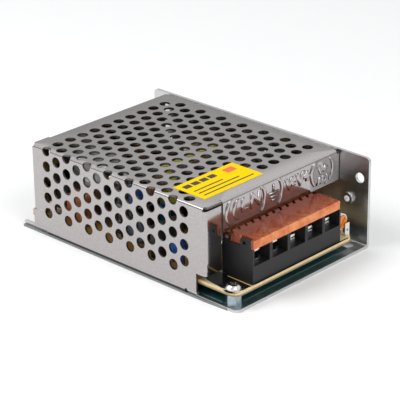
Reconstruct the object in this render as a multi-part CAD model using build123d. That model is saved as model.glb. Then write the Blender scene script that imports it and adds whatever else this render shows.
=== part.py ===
from build123d import *
import math
import os

# Open-case power supply. Millimetres. +X is the terminal end, +Y the tall plain wall, +Z up.
# The origin is the centre of the bottom face. An inset is a distance inwards from the case's own end
# or wall, and a height is measured from the board's upper face.

# Case
case_length = 110.0
case_width = 73.5
case_height = 36.0
base_sheet = 1.2
base_bend = 1.7
cover_sheet = 0.8
cover_bend = 1.3
sheet_gap = 0.1
wall_corner = 1.5
floor_corner = 2.6
floor_rear_inset = 3.5
lip_height = 4.6
lip_end_height = 2.2
lip_front_inset = 19.0
cut_over = 1.0
join = 0.2

# Cover
cover_rear_inset = 6.8
cover_front_inset = 13.8
flap_clearance = 1.1
rear_flap_clearance = 3.5
flap_near_inset = 9.15
flap_slit = 0.9
rear_flap_far_gap = 1.5
return_bottom_z = 10.0
return_top_gap = 0.6
side_bottom_z = 2.0
side_end_bottom_z = 2.6
side_step_inset = 18.4
side_skirt_rear_inset = 13.7
side_skirt_front_inset = 24.0
far_flange_height = 8.0
far_flange_end = 6.0
tab_inset = 0.2

# Perforation
hole_diameter = 4.2
hole_pitch = 6.294
hole_first_inset = 8.42
hole_end_margin = 9.5
hole_far_margin = 4.5
hole_low_margin = 5.9
hole_bend_line = 0.15
hole_bend_depth = 3.0
hole_bend_squash = 0.8
hole_sides = 8

# Label
label_length = 15.2
label_width = 30.3
label_thickness = 0.1
label_front_inset = 5.7
label_near_inset = 6.05

# Board
board_thickness = 1.6
board_height = 5.4
board_rear_inset = 2.3
board_front_inset = 1.2
board_near_inset = 1.75
board_far_inset = 7.75
board_corner = 3.0
board_hole_inset_x = 3.6
board_hole_inset_y = 2.6
board_far_hole_inset = 25.0
insulation_thickness = 0.3
insulation_margin = 0.5
insulation_front_inset = 2.4
insulation_rear_inset = 2.7

# Fasteners
screw_radius = 1.45
screw_clearance = 0.05
screw_hole_clearance = 0.15
head_radius = 2.85
head_height = 2.0
head_edge = 0.8
recess_width = 0.7
recess_length = 3.2
recess_depth = 1.1
slot_length = 3.6
slot_depth = 0.6
standoff_flats = 5.0
standoff_shank = 2.0
standoff_tip_gap = 0.8
sink_radius = 2.6
cover_screw_x = 24.0
cover_screw_drop = 4.6
cover_screw_reach = 3.0

# Mounting holes
mount_hole_radius = 1.75
mount_hole_front_inset = 5.2
mount_hole_rear_inset = 8.8
mount_hole_far_inset = 5.65
side_hole_inset = 4.1
side_hole_drop = 8.7
side_hole_radius = 2.0
tapped_hole_inset = 9.2
tapped_hole_z = 17.9
tapped_hole_radius = 1.25
collar_radius = 2.3
collar_height = 1.0

# Terminal block
bay_count = 5
bay_wall = 1.5
block_near_inset = 11.5
block_far_inset = 14.5
block_rear_inset = 16.6
block_front_inset = 2.0
bay_floor_height = 6.6
block_height = 13.3
block_rear_wall = 1.6
rib_height = 15.2
rib_rear_inset = 12.5
rib_front_inset = 2.8
ear_thickness = 1.0
ear_corner = 0.8
rear_ear_rear_inset = 16.3
rear_ear_front_inset = 13.1
rear_ear_height = 15.9
front_ear_rear_inset = 7.9
front_ear_front_inset = 2.9
front_ear_height = 16.3
dimple_inset = 6.1
dimple_height = 14.6
dimple_radius = 0.65

# Terminal contacts
plate_thickness = 1.0
plate_side_gap = 0.5
plate_rear_inset = 13.9
plate_front_inset = 5.8
tongue_front_inset = 4.6
tongue_width = 2.8
leg_thickness = 0.8
leg_width = 4.0
leg_stub = 1.0
leg_clearance = 0.05
slot_clearance = 0.2
clamp_inset = 9.0
clamp_thickness = 0.8
clamp_corner = 0.8
clamp_lip_height = 2.3
clamp_slit = 0.6
clamp_slit_wall = 0.6
clamp_openings = (3.0, 3.0, 0.3, 0.3, 0.3)
terminal_head_radius = 2.9
terminal_head_height = 2.2
terminal_screw_length = 7.0
screw_tip_gap = 0.3

# Lid over the terminals
lid_height = 16.8
lid_sheet = 1.1
lid_rear_inset = 12.8
lid_front_inset = 1.4
lid_skirt_gap = 0.2
lid_end_skirt_gap = 0.3
lid_pin_inset = 14.4
lid_pin_height = 14.7
lid_pin_radius = 0.75
lid_pin_clearance = 0.05
lid_arm_radius = 1.0
lid_end_gap = 0.2
lid_chamfer = 1.0
lid_pad_rear_inset = 12.5
lid_pad_front_inset = 8.2
lid_pad_gap = 0.1
lid_overhang = 0.45

# Trimmer
trimmer_block_gap = 3.65
trimmer_height = 5.7
trimmer_rear_inset = 6.6
trimmer_depth = 2.2
trimmer_radius = 3.2
trimmer_leg_gap = 3.2
trimmer_leg_width = 0.7
trimmer_leg_inset = 0.5
rotor_radius = 2.55
rotor_depth = 0.9
rotor_recess = 0.5
rotor_pin_radius = 0.8
rotor_clearance = 0.05
rotor_slot_width = 0.8
rotor_slot_length = 4.0
rotor_slot_depth = 0.5
rotor_slot_turn = 50.0
bracket_front_inset = 3.05
bracket_side_gap = 0.6
bracket_width = 2.4
bracket_thickness = 0.45
bracket_height = 5.2
bracket_hole_height = 2.4
bracket_hole_radius = 0.45

# Leads and lifts that most board parts share
lead_width = 0.7
lead_bend_reach = 2.2

# Fuse and clips
fuse_front_inset = 31.0
fuse_near_inset = 22.25
fuse_height = 4.2
fuse_length = 20.0
fuse_radius = 2.6
fuse_glass_step = 0.15
fuse_cap = 5.0
clip_width = 4.0
clip_sheet = 0.5
clip_clearance = 0.02
clip_mouth = 3.4
clip_foot = 3.0
clip_foot_gap = 0.2

# Discs on leads
disc_edge = 0.3
thermistor_rear_inset = 14.4
thermistor_near_inset = 6.75
thermistor_radius = 6.0
thermistor_thickness = 4.4
thermistor_lead_gap = 6.0
thermistor_lift = 3.0
varistor_front_inset = 51.5
varistor_near_inset = 5.45
varistor_radius = 5.4
varistor_thickness = 4.2
varistor_lead_gap = 6.0
varistor_lift = 2.5
safety_front_insets = (33.0, 23.0)
safety_near_inset = 6.25
safety_radius = 4.0
safety_thickness = 3.4
safety_lead_gap = 5.0
safety_lift = 2.5

# Box and slab capacitors
filter_front_inset = 42.0
filter_near_inset = 3.25
filter_length = 13.0
filter_width = 5.0
filter_height = 12.0
filter_corner = 0.6
snubber_rear_inset = 21.4
snubber_near_inset = 6.05
snubber_length = 10.0
snubber_thickness = 4.6
snubber_height = 11.0
snubber_corner = 2.2
snubber_lift = 1.5
snubber_lead_inset = 1.7

# Cans
can_neck = 0.25
can_groove = 0.06
can_rim = 0.1
bulk_x = -9.5
bulk_y = -20.9
bulk_radius = 8.0
bulk_cover_gap = 2.7
small_can_rear_inset = 17.0
small_can_y = 6.0
small_can_radius = 4.0
small_can_height = 11.0
output_can_front_inset = 22.2
output_can_y = (1.0, 12.5)
output_can_radius = 5.0
output_can_cover_gap = 9.2

# Bridge rectifier
bridge_rear_inset = 11.0
bridge_y = -12.5
bridge_length = 15.0
bridge_thickness = 4.0
bridge_height = 11.0
bridge_lift = 3.0
bridge_corner = 2.0
bridge_lead_pitch = 3.8
bridge_lead_width = 0.9

# Line choke
choke_rear_inset = 19.6
choke_far_inset = 17.25
choke_length = 18.0
choke_height = 16.0
choke_depth = 6.0
choke_leg = 4.4
choke_lift = 1.0
choke_gap = 0.1
bobbin_width = 8.4
bobbin_depth = 10.4
bobbin_height = 7.0
bobbin_corner = 1.5
bobbin_spread = 6.8
bobbin_foot_y = 4.4
bobbin_foot_width = 2.0
bobbin_foot_depth = 1.0

# Heatsink and the flat power devices
sink_rear_inset = 17.0
sink_can_gap = 2.3
sink_near_inset = 12.75
sink_plate = 2.0
sink_bend = 2.4
sink_flange = 10.0
sink_cover_gap = 4.2
sink_hole_drop = 7.0
device_width = 10.0
device_depth = 4.5
tab_thickness = 1.3
tab_above_hole = 2.9
tab_below_hole = 12.6
body_below_hole = 3.4
device_lead_pitch = 2.54
device_lead_width = 0.8
device_lead_thickness = 0.5
device_lead_depth = 2.6
screw_end = 0.5
rectifier_x = 6.0
rectifier_flange_gap = 4.0
rectifier_lead_inset = 1.35
rectifier_screw_inset = 0.1
pad_thickness = 0.3
pad_margin = 1.5

# Transformer
transformer_x = -1.9
transformer_y = 1.5
core_depth = 11.0
core_width = 28.0
core_lift = 2.5
core_cover_gap = 4.2
core_yoke = 5.5
core_outer_leg = 4.0
core_middle_leg = 8.0
winding_reach = 4.5
winding_corner = 3.0
winding_gap = 0.1
rail_width = 4.0
rail_place = 2.6
rail_lift = 1.0
rail_pins = 4
rail_pin_pitch = 5.0
tape_width = 5.3
tape_thickness = 0.25

# Output choke
toroid_x = 14.6
toroid_far_inset = 17.35
toroid_height = 5.4
toroid_radius = 6.6
toroid_hole = 3.3
toroid_thickness = 6.0
toroid_edge = 0.5
wire = 1.0
turn_count = 10
turn_arc = 300.0
turn_gap = 0.1
turn_fit = 0.01

# Chips
chip_height = 3.4
chip_width = 6.4
chip_edge = 0.4
chip_lift = 0.5
chip_lead_reach = 0.6
control_chip_gap = 19.1
control_chip_y = 8.0
control_chip_length = 9.6
control_chip_leads = 4
optocoupler_gap = 12.6
optocoupler_y = 21.5
optocoupler_length = 4.6
optocoupler_leads = 2
regulator_gap = 3.1
regulator_y = 24.0
regulator_radius = 2.3
regulator_flat = 1.3
regulator_height = 4.6
regulator_lift = 4.0
regulator_lead_pitch = 1.27

# Parts that lie on the board, each with its place from the rear end or the transformer
axial_lift = 0.1
axial_edge = 0.4
resistor_length = 9.0
resistor_radius = 1.9
upright_resistor_rear_inset = 10.4
upright_resistor_y = 5.0
pair_resistor_rear_inset = 26.0
pair_resistor_y = (-4.0, 1.5)
diode_length = 5.0
diode_radius = 1.3
rear_diode_rear_inset = 17.0
rear_diode_y = -5.5
far_diode_gap = 3.6
far_diode_y = 19.0

# Derived places
near_wall_y = -case_width / 2
far_wall_y = case_width / 2
rear_x = -case_length / 2
front_x = case_length / 2
far_inner_y = far_wall_y - base_sheet
cover_far_y = far_inner_y - sheet_gap
cover_inner_y = near_wall_y + cover_sheet
lip_y = cover_inner_y + sheet_gap
floor_rear_x = rear_x + floor_rear_inset
lip_front_x = front_x - lip_front_inset
cover_rear_x = rear_x + cover_rear_inset
cover_front_x = front_x - cover_front_inset
cover_under_z = case_height - cover_sheet
flap_near_y = near_wall_y + flap_near_inset
side_skirt_rear_x = rear_x + side_skirt_rear_inset
side_skirt_front_x = front_x - side_skirt_front_inset
side_step_x = front_x - side_step_inset
board_rear_x = rear_x + board_rear_inset
board_front_x = front_x - board_front_inset
board_near_y = near_wall_y + board_near_inset
board_far_y = far_wall_y - board_far_inset
board_top_z = board_height + board_thickness
cover_screw_z = case_height - cover_screw_drop
side_hole_z = case_height - side_hole_drop
bore_radius = screw_radius + screw_clearance

block_near_y = near_wall_y + block_near_inset
block_far_y = far_wall_y - block_far_inset
block_rear_x = front_x - block_rear_inset
block_front_x = front_x - block_front_inset
bay_pitch = (block_far_y - block_near_y) / bay_count
bay_width = bay_pitch - bay_wall
bay_floor_z = board_top_z + bay_floor_height
block_top_z = board_top_z + block_height
flap_bottom_z = board_top_z + rear_ear_height + flap_clearance
rear_flap_bottom_z = board_top_z + rear_flap_clearance
plate_width = bay_width - 2 * plate_side_gap
plate_top_z = bay_floor_z + plate_thickness
plate_rear_x = front_x - plate_rear_inset
plate_front_x = front_x - plate_front_inset
tongue_front_x = front_x - tongue_front_inset
clamp_x = front_x - clamp_inset
lid_top_z = board_top_z + lid_height
lid_rear_x = front_x - lid_rear_inset
lid_front_x = front_x - lid_front_inset
lid_pin_x = front_x - lid_pin_inset
lid_pin_z = board_top_z + lid_pin_height
lid_skirt_z = block_top_z + lid_skirt_gap
lid_end_skirt_z = block_top_z + lid_end_skirt_gap
trimmer_y = block_far_y + trimmer_block_gap
trimmer_z = board_top_z + trimmer_height
trimmer_rear_x = front_x - trimmer_rear_inset

fuse_x = front_x - fuse_front_inset
fuse_y = near_wall_y + fuse_near_inset
fuse_z = board_top_z + fuse_height
choke_x = rear_x + choke_rear_inset
choke_y = far_wall_y - choke_far_inset
sink_rear_x = rear_x + sink_rear_inset
sink_front_x = bulk_x - bulk_radius - sink_can_gap
sink_y = near_wall_y + sink_near_inset
sink_top_z = cover_under_z - sink_cover_gap
transistor_x = (sink_rear_x + sink_front_x) / 2
transistor_hole_z = sink_top_z - sink_hole_drop
rectifier_hole_z = case_height - far_flange_height - rectifier_flange_gap
rectifier_back_y = far_inner_y - pad_thickness
core_base_z = board_top_z + core_lift
core_top_z = cover_under_z - core_cover_gap
toroid_y = far_wall_y - toroid_far_inset
toroid_z = board_top_z + toroid_height

standoff_places = [
    (board_front_x - board_hole_inset_x, board_near_y + board_hole_inset_y),
    (board_rear_x + board_hole_inset_x, lip_y + base_bend + standoff_flats / 2 + 2 * sheet_gap),
    (board_rear_x + board_hole_inset_x, board_far_y - board_hole_inset_y),
    (front_x - board_far_hole_inset, board_far_y - board_hole_inset_y),
]


def bay_centre(i):
    """Y of the middle of one terminal bay."""
    return block_near_y + bay_pitch * (i + 0.5)


def clamp_bottom(i):
    """Height of the underside of one clamp."""
    return plate_top_z + clamp_openings[i]


def block(x0, x1, y0, y1, z0, z1):
    """A box between two corners, given in any order along each axis."""
    size = (abs(x1 - x0), abs(y1 - y0), abs(z1 - z0))
    return Pos((x0 + x1) / 2, (y0 + y1) / 2, (z0 + z1) / 2) * Box(*size)


def post(x, y, z0, z1, radius):
    """A cylinder that stands along Z."""
    return Pos(x, y, (z0 + z1) / 2) * Cylinder(radius, z1 - z0)


def rod_y(x, z, y0, y1, radius):
    """A cylinder that lies along Y."""
    return Pos(x, (y0 + y1) / 2, z) * Rot(90, 0, 0) * Cylinder(radius, abs(y1 - y0))


def rod_x(y, z, x0, x1, radius):
    """A cylinder that lies along X."""
    return Pos((x0 + x1) / 2, y, z) * Rot(0, 90, 0) * Cylinder(radius, abs(x1 - x0))


def lead(x, y, z0, z1):
    """A lead that stands on the board."""
    half = lead_width / 2
    return block(x - half, x + half, y - half, y + half, z0, z1)


def bent_section(outline, sheet, radius):
    """Flat section of a bent sheet, from the outer line and its bend radius, thickness inwards."""
    outer = FilletPolyline(*outline, radius=radius)
    return make_face(offset(outer, amount=sheet, side=Side.LEFT, closed=True))


def bent_along_x(outline, sheet, radius, x0, x1):
    """Sheet bent in the YZ plane. The outline runs with the thickness on its left."""
    return extrude(Plane.YZ.offset(x0) * bent_section(outline, sheet, radius), x1 - x0)


def bent_along_y(outline, sheet, radius, y0, y1):
    """Sheet bent in the XZ plane."""
    return extrude(Plane.XZ.offset(-y0) * bent_section(outline, sheet, radius), -(y1 - y0))


def bent_along_z(outline, sheet, radius, z0, z1):
    """Sheet bent in the XY plane."""
    return extrude(Plane.XY.offset(z0) * bent_section(outline, sheet, radius), z1 - z0)


def round_upright(solid, places, radius):
    """Round the upright edges nearest to the given corners."""
    edges = solid.edges().filter_by(Axis.Z)
    chosen = [edges.sort_by_distance((x, y, solid.center().Z))[0] for x, y in places]
    return fillet(chosen, radius)


def cross_recess(x, y, top_z):
    """Cutter for the cross in a screw head."""
    low_z = top_z - recess_depth
    a = recess_length / 2
    b = recess_width / 2
    return block(x - a, x + a, y - b, y + b, low_z, top_z) + block(x - b, x + b, y - a, y + a, low_z, top_z)


def pan_head(x, y, z, radius, height):
    """Screw head that rests on a face at z, its rim bevelled."""
    head = post(x, y, z, z + height, radius)
    head = chamfer(head.edges().group_by(Axis.Z)[-1], head_edge)
    return head - cross_recess(x, y, z + height)


# Case pieces
def base_chassis():
    """Floor, tall far wall and low near lip, bent from one sheet."""
    outline = [(far_wall_y, case_height), (far_wall_y, 0), (lip_y + base_bend, 0)]
    base = bent_along_x([(y, z) for y, z in reversed(outline)], base_sheet, base_bend, rear_x, front_x)
    lip_line = [(far_inner_y - base_bend, 0), (lip_y, 0), (lip_y, lip_height)]
    lip = bent_along_x([(y, z) for y, z in reversed(lip_line)], base_sheet, base_bend, rear_x, lip_front_x)
    apron = block(lip_front_x, front_x, lip_y, 0, 0, base_sheet)
    apron = round_upright(apron, [(front_x, lip_y)], floor_corner)
    base = base + lip + apron
    base -= block(rear_x, floor_rear_x, lip_y + base_sheet, far_inner_y - base_bend, 0, base_sheet)
    lip_ends = ((rear_x, side_skirt_rear_x), (side_skirt_front_x, lip_front_x))
    for x0, x1 in lip_ends:
        base -= block(x0, x1, lip_y - cut_over, lip_y + base_sheet + join, lip_end_height, lip_height + cut_over)
    edges = base.edges().filter_by(Axis.Y)
    corners = [(rear_x, case_height), (front_x, case_height)]
    base = fillet([edges.sort_by_distance((x, far_inner_y, z))[0] for x, z in corners], wall_corner)
    for x, y in standoff_places:
        base -= post(x, y, -cut_over, base_sheet + cut_over, standoff_shank + screw_clearance)
    for x in (front_x - mount_hole_front_inset, rear_x + mount_hole_rear_inset):
        base -= post(x, far_wall_y - mount_hole_far_inset, -cut_over, base_sheet + cut_over, mount_hole_radius)
    for side in (-1, 1):
        tapped_x = side * (front_x - tapped_hole_inset)
        plain_x = side * (front_x - side_hole_inset)
        collar_y = far_inner_y - collar_height
        base += rod_y(tapped_x, tapped_hole_z, collar_y, far_inner_y + join, collar_radius)
        base -= rod_y(tapped_x, tapped_hole_z, collar_y - cut_over, far_wall_y + cut_over, tapped_hole_radius)
        base -= rod_y(plain_x, side_hole_z, far_inner_y - cut_over, far_wall_y + cut_over, side_hole_radius)
        base -= sink_cone(side * cover_screw_x, screw_clearance)
        base -= rod_y(side * cover_screw_x, cover_screw_z, far_inner_y - cut_over, far_wall_y, bore_radius)
    return base - rod_y(rectifier_x, rectifier_hole_z, far_inner_y - cut_over, far_wall_y + cut_over, bore_radius)


def sink_cone(x, extra):
    """Conical head of a cover screw, flush with the far wall."""
    cone = Cone(screw_radius + extra, sink_radius + extra, base_sheet)
    return Pos(x, far_wall_y - base_sheet / 2, cover_screw_z) * Rot(-90, 0, 0) * cone


def cover_screws():
    """Two countersunk screws through the far wall into the cover's far flange."""
    screws = []
    for side in (-1, 1):
        x = side * cover_screw_x
        shank = rod_y(x, cover_screw_z, cover_far_y - cover_screw_reach, far_inner_y + join, screw_radius)
        slot = block(x - slot_length / 2, x + slot_length / 2, far_wall_y - slot_depth, far_wall_y + cut_over,
                     cover_screw_z - recess_width / 2, cover_screw_z + recess_width / 2)
        screws.append(sink_cone(x, 0) + shank - slot)
    return screws


def perforation():
    """Cutters for the staggered holes that run over the top, the bend and the near side."""
    column_step = hole_pitch * math.sqrt(3) / 2
    first_x = cover_rear_x + hole_first_inset
    columns = 1 + int((cover_front_x - hole_end_margin - first_x) / column_step)
    line_y = near_wall_y - hole_bend_line
    top_rows = int((cover_far_y - hole_far_margin - line_y) / hole_pitch - 0.5)
    side_rows = int((cover_under_z - side_bottom_z - hole_low_margin) / hole_pitch)
    hole = RegularPolygon(hole_diameter / 2, hole_sides)
    top = extrude(hole, 3 * cover_sheet)
    side = Rot(90, 0, 0) * top
    bend_hole = scale(top, (1, hole_bend_squash, 4))
    cutters = []
    for column in range(columns):
        x = first_x + column * column_step
        odd = column % 2
        for row in range(1, top_rows + 1 + odd):
            cutters.append(Pos(x, line_y + (row - odd / 2) * hole_pitch, cover_under_z - cover_sheet) * top)
        for row in range(1, side_rows + 1):
            z = cover_under_z - (row - odd / 2) * hole_pitch
            cutters.append(Pos(x, cover_inner_y + cover_sheet, z) * side)
        if not odd:
            place = Pos(x, near_wall_y + hole_bend_depth, case_height - hole_bend_depth)
            cutters.append(place * Rot(45, 0, 0) * bend_hole)
    return cutters


def perforated_cover():
    """Top, near side, end flaps and return flanges, folded from one perforated sheet."""
    bend = cover_bend
    front_edge = cover_front_x - bend
    rear_edge = cover_rear_x + bend
    shell = [(cover_far_y, case_height - far_flange_height), (cover_far_y, case_height),
             (near_wall_y, case_height), (near_wall_y, return_bottom_z)]
    cover = bent_along_x(shell, cover_sheet, bend, rear_edge, front_edge)
    for x0, x1 in ((rear_edge, rear_edge + far_flange_end), (front_edge - far_flange_end, front_edge)):
        cover -= block(x0, x1, cover_far_y - cover_sheet, cover_far_y, 0, case_height - bend)
    flaps = [(cover_front_x, flap_bottom_z), (cover_front_x, case_height),
             (cover_rear_x, case_height), (cover_rear_x, rear_flap_bottom_z)]
    cover += bent_along_y(flaps, cover_sheet, bend, flap_near_y, cover_far_y)
    cover -= block(cover_rear_x, rear_edge, cover_far_y - rear_flap_far_gap, far_wall_y, 0, case_height - bend)
    return_y = flap_near_y - flap_slit
    return_top_z = cover_under_z - return_top_gap
    front_return = [(0, near_wall_y), (cover_front_x, near_wall_y), (cover_front_x, return_y)]
    rear_return = [(cover_rear_x, return_y), (cover_rear_x, near_wall_y), (0, near_wall_y)]
    cover += bent_along_z(front_return, cover_sheet, bend, return_bottom_z, return_top_z)
    cover += bent_along_z(rear_return, cover_sheet, bend, return_bottom_z, return_top_z)
    for x0, x1 in ((front_edge, cover_front_x - tab_inset), (cover_rear_x + tab_inset, rear_edge)):
        cover += block(x0, x1, near_wall_y + bend, flap_near_y, cover_under_z, case_height)
    cover += block(cover_rear_x, 0, near_wall_y, cover_inner_y, side_end_bottom_z, return_bottom_z)
    cover += block(0, side_step_x, near_wall_y, cover_inner_y, side_end_bottom_z, return_bottom_z)
    cover += block(side_skirt_rear_x, side_skirt_front_x, near_wall_y, cover_inner_y, side_bottom_z,
                   return_bottom_z)
    for side in (-1, 1):
        cover -= rod_y(side * cover_screw_x, cover_screw_z, cover_far_y - 2 * cover_sheet, cover_far_y + cut_over,
                       bore_radius)
    return cover - perforation()


def plain_label():
    """Sticker on the cover's top."""
    x1 = cover_front_x - label_front_inset
    y0 = near_wall_y + label_near_inset
    return block(x1 - label_length, x1, y0, y0 + label_width, case_height, case_height + label_thickness)


# Board and its fixings
def insulation_sheet():
    """Thin sheet between the board and the floor, cut out round the standoffs."""
    sheet = block(board_rear_x + insulation_rear_inset, board_front_x - insulation_front_inset,
                  board_near_y + 2 * insulation_margin, board_far_y - insulation_margin,
                  base_sheet, base_sheet + insulation_thickness)
    for x, y in standoff_places:
        sheet -= post(x, y, 0, board_height, standoff_flats / math.sqrt(3) + 2 * insulation_margin)
    return sheet


def board_standoffs():
    """Hexagonal standoffs, their shanks pressed into the floor."""
    pieces = []
    for x, y in standoff_places:
        hexagon = extrude(RegularPolygon(standoff_flats / math.sqrt(3), 6, rotation=30), board_height - base_sheet)
        body = Pos(x, y, base_sheet) * hexagon + post(x, y, 0, base_sheet, standoff_shank)
        pieces.append(body - post(x, y, base_sheet / 2, board_height, bore_radius))
    return pieces


def board_screws():
    """Pan-head screws that hold the board on its standoffs."""
    pieces = []
    for x, y in standoff_places:
        shank = post(x, y, base_sheet + standoff_tip_gap, board_top_z, screw_radius)
        pieces.append(pan_head(x, y, board_top_z, head_radius, head_height) + shank)
    return pieces


def circuit_board():
    """Board with rounded corners, screw holes and slots for the terminal legs."""
    board = block(board_rear_x, board_front_x, board_near_y, board_far_y, board_height, board_top_z)
    board = fillet(board.edges().filter_by(Axis.Z), board_corner)
    for x, y in standoff_places:
        board -= post(x, y, board_height, board_top_z, screw_radius + screw_hole_clearance)
    for i in range(bay_count):
        board -= leg_slot(bay_centre(i), slot_clearance, board_height, board_top_z)
    return board


# Terminal block
def leg_slot(y, gap, z0, z1):
    """Space for one contact's solder leg."""
    half = leg_width / 2 + gap
    return block(plate_rear_x - gap, plate_rear_x + leg_thickness + gap, y - half, y + half, z0, z1)


def ear(rear_inset, front_inset, height, y0):
    """Lug on an end wall, its top corners rounded."""
    lug = block(front_x - rear_inset, front_x - front_inset, y0, y0 + ear_thickness, bay_floor_z,
                board_top_z + height)
    return fillet(lug.edges().filter_by(Axis.Y).group_by(Axis.Z)[-1], ear_corner)


def terminal_block():
    """Black moulding with open bays, ribs between them and ears that carry the lid."""
    body = block(block_rear_x, block_front_x, block_near_y, block_far_y, board_top_z, block_top_z)
    half = bay_width / 2
    for i in range(bay_count):
        y = bay_centre(i)
        body -= block(block_rear_x + block_rear_wall, block_front_x, y - half, y + half, bay_floor_z, block_top_z)
    for i in range(1, bay_count):
        y = block_near_y + bay_pitch * i
        body += block(front_x - rib_rear_inset, front_x - rib_front_inset, y - bay_wall / 2, y + bay_wall / 2,
                      bay_floor_z, board_top_z + rib_height)
    for y0 in (block_near_y, block_far_y - ear_thickness):
        y1 = y0 + ear_thickness
        body += ear(rear_ear_rear_inset, rear_ear_front_inset, rear_ear_height, y0)
        body += ear(front_ear_rear_inset, front_ear_front_inset, front_ear_height, y0)
        body -= rod_y(lid_pin_x, lid_pin_z, y0, y1, lid_pin_radius + lid_pin_clearance)
        body -= rod_y(front_x - dimple_inset, board_top_z + dimple_height, y0, y1, dimple_radius)
    for i in range(bay_count):
        y = bay_centre(i)
        tip_z = plate_top_z + clamp_thickness - terminal_screw_length
        body -= post(clamp_x, y, tip_z - screw_tip_gap, bay_floor_z, bore_radius)
        body -= leg_slot(y, leg_clearance, board_top_z, bay_floor_z)
    return body


def tongue(y, z0, z1):
    """Narrow front end of a plate or clamp."""
    half = tongue_width / 2
    return block(plate_front_x - join, tongue_front_x, y - half, y + half, z0, z1)


def terminal_plates():
    """Contact plates on the bay floors, each with a tongue in front and a leg down through the board."""
    pieces = []
    for i in range(bay_count):
        y = bay_centre(i)
        half = plate_width / 2
        plate = block(plate_rear_x, plate_front_x, y - half, y + half, bay_floor_z, plate_top_z)
        plate += tongue(y, bay_floor_z, plate_top_z)
        plate += leg_slot(y, 0, board_height - leg_stub, plate_top_z)
        pieces.append(plate - post(clamp_x, y, bay_floor_z, plate_top_z, bore_radius))
    return pieces


def clamp_washer(i):
    """Square clamp under a terminal screw's head, its narrow front folded back over itself."""
    y = bay_centre(i)
    half = plate_width / 2
    low = clamp_bottom(i)
    rear = clamp_x - (plate_front_x - clamp_x)
    washer = block(rear, plate_front_x, y - half, y + half, low, low + clamp_thickness)
    washer = fillet(washer.edges().filter_by(Axis.Z), clamp_corner)
    slit = block(plate_front_x, tongue_front_x, y - tongue_width / 2 + clamp_slit_wall, y + tongue_width / 2,
                 low + clamp_thickness, low + clamp_thickness + clamp_slit)
    washer += tongue(y, low, low + clamp_lip_height) - slit
    return washer - post(clamp_x, y, low, low + clamp_thickness, bore_radius + 2 * screw_clearance)


def terminal_screw(i):
    """Screw that presses one clamp down on its plate."""
    y = bay_centre(i)
    seat_z = clamp_bottom(i) + clamp_thickness
    head = pan_head(clamp_x, y, seat_z, terminal_head_radius, terminal_head_height)
    return head + post(clamp_x, y, seat_z - terminal_screw_length, seat_z, screw_radius)


def lid_end(y_out, y_in):
    """End skirt of the lid with its hinge arm, between two Y values."""
    y0, y1 = sorted((y_out, y_in))
    skirt = block(lid_rear_x, lid_front_x - lid_sheet, y0, y1, lid_end_skirt_z, lid_top_z - lid_sheet)
    arm = block(lid_pin_x, lid_rear_x + join, y0, y1, lid_pin_z - lid_arm_radius, lid_pin_z + lid_arm_radius)
    return skirt + arm + rod_y(lid_pin_x, lid_pin_z, y0, y1, lid_arm_radius)


def terminal_cover():
    """Lid over the terminals: top, front skirt, end skirts, hinge arms and pins."""
    near_in = block_near_y + ear_thickness + lid_end_gap
    far_in = block_far_y - ear_thickness - lid_end_gap
    top = block(lid_rear_x, lid_front_x, near_in, far_in, lid_top_z - lid_sheet, lid_top_z)
    rear_edge = top.edges().filter_by(Axis.Y).sort_by_distance((lid_rear_x, 0, lid_top_z))[0]
    lid = chamfer(rear_edge, lid_chamfer)
    lid += block(lid_front_x - lid_sheet, lid_front_x, block_near_y - lid_overhang, far_in, lid_skirt_z, lid_top_z)
    lid += lid_end(near_in, near_in + lid_sheet)
    lid += lid_end(far_in, far_in - lid_sheet)
    pad = block(front_x - lid_pad_rear_inset, front_x - lid_pad_front_inset, block_near_y + lid_pad_gap, near_in,
                lid_end_skirt_z, lid_top_z)
    pad_edge = pad.edges().filter_by(Axis.Y).sort_by_distance((lid_rear_x, block_near_y, lid_top_z))[0]
    lid += chamfer(pad_edge, lid_chamfer)
    lid += rod_y(lid_pin_x, lid_pin_z, block_near_y, near_in, lid_pin_radius)
    lid += rod_y(lid_pin_x, lid_pin_z, far_in, block_far_y, lid_pin_radius)
    return lid


# Trimmer
def trimmer_body():
    """White round body that stands on the board and carries the rotor."""
    face_x = trimmer_rear_x + trimmer_depth
    leg_x = trimmer_rear_x + trimmer_leg_inset
    body = rod_x(trimmer_y, trimmer_z, trimmer_rear_x, face_x, trimmer_radius)
    for side in (-1, 1):
        y = trimmer_y + side * trimmer_leg_gap / 2
        body += block(leg_x, leg_x + trimmer_leg_width, y - trimmer_leg_width / 2, y + trimmer_leg_width / 2,
                      board_top_z, trimmer_z - trimmer_radius / 2)
    body -= rod_x(trimmer_y, trimmer_z, face_x - rotor_recess, face_x, rotor_radius + 2 * rotor_clearance)
    return body - rod_x(trimmer_y, trimmer_z, trimmer_rear_x, face_x, rotor_pin_radius + rotor_clearance)


def trimmer_rotor():
    """Slotted rotor that turns in the body."""
    rear = trimmer_rear_x + trimmer_depth - rotor_recess + rotor_clearance
    rotor = rod_x(trimmer_y, trimmer_z, rear, rear + rotor_depth, rotor_radius)
    rotor += rod_x(trimmer_y, trimmer_z, trimmer_rear_x, rear, rotor_pin_radius)
    slot = block(rear + rotor_depth - rotor_slot_depth, rear + rotor_depth, -rotor_slot_length / 2,
                 rotor_slot_length / 2, -rotor_slot_width / 2, rotor_slot_width / 2)
    return rotor - Pos(0, trimmer_y, trimmer_z) * Rot(rotor_slot_turn, 0, 0) * slot


def trimmer_bracket():
    """Flat tin-plated terminal in front of the trimmer, with a hole."""
    x1 = front_x - bracket_front_inset
    y0 = trimmer_y + bracket_side_gap
    strip = block(x1 - bracket_thickness, x1, y0, y0 + bracket_width, board_top_z, board_top_z + bracket_height)
    hole_z = board_top_z + bracket_hole_height
    return strip - rod_x(y0 + bracket_width / 2, hole_z, x1 - bracket_thickness, x1, bracket_hole_radius)


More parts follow.
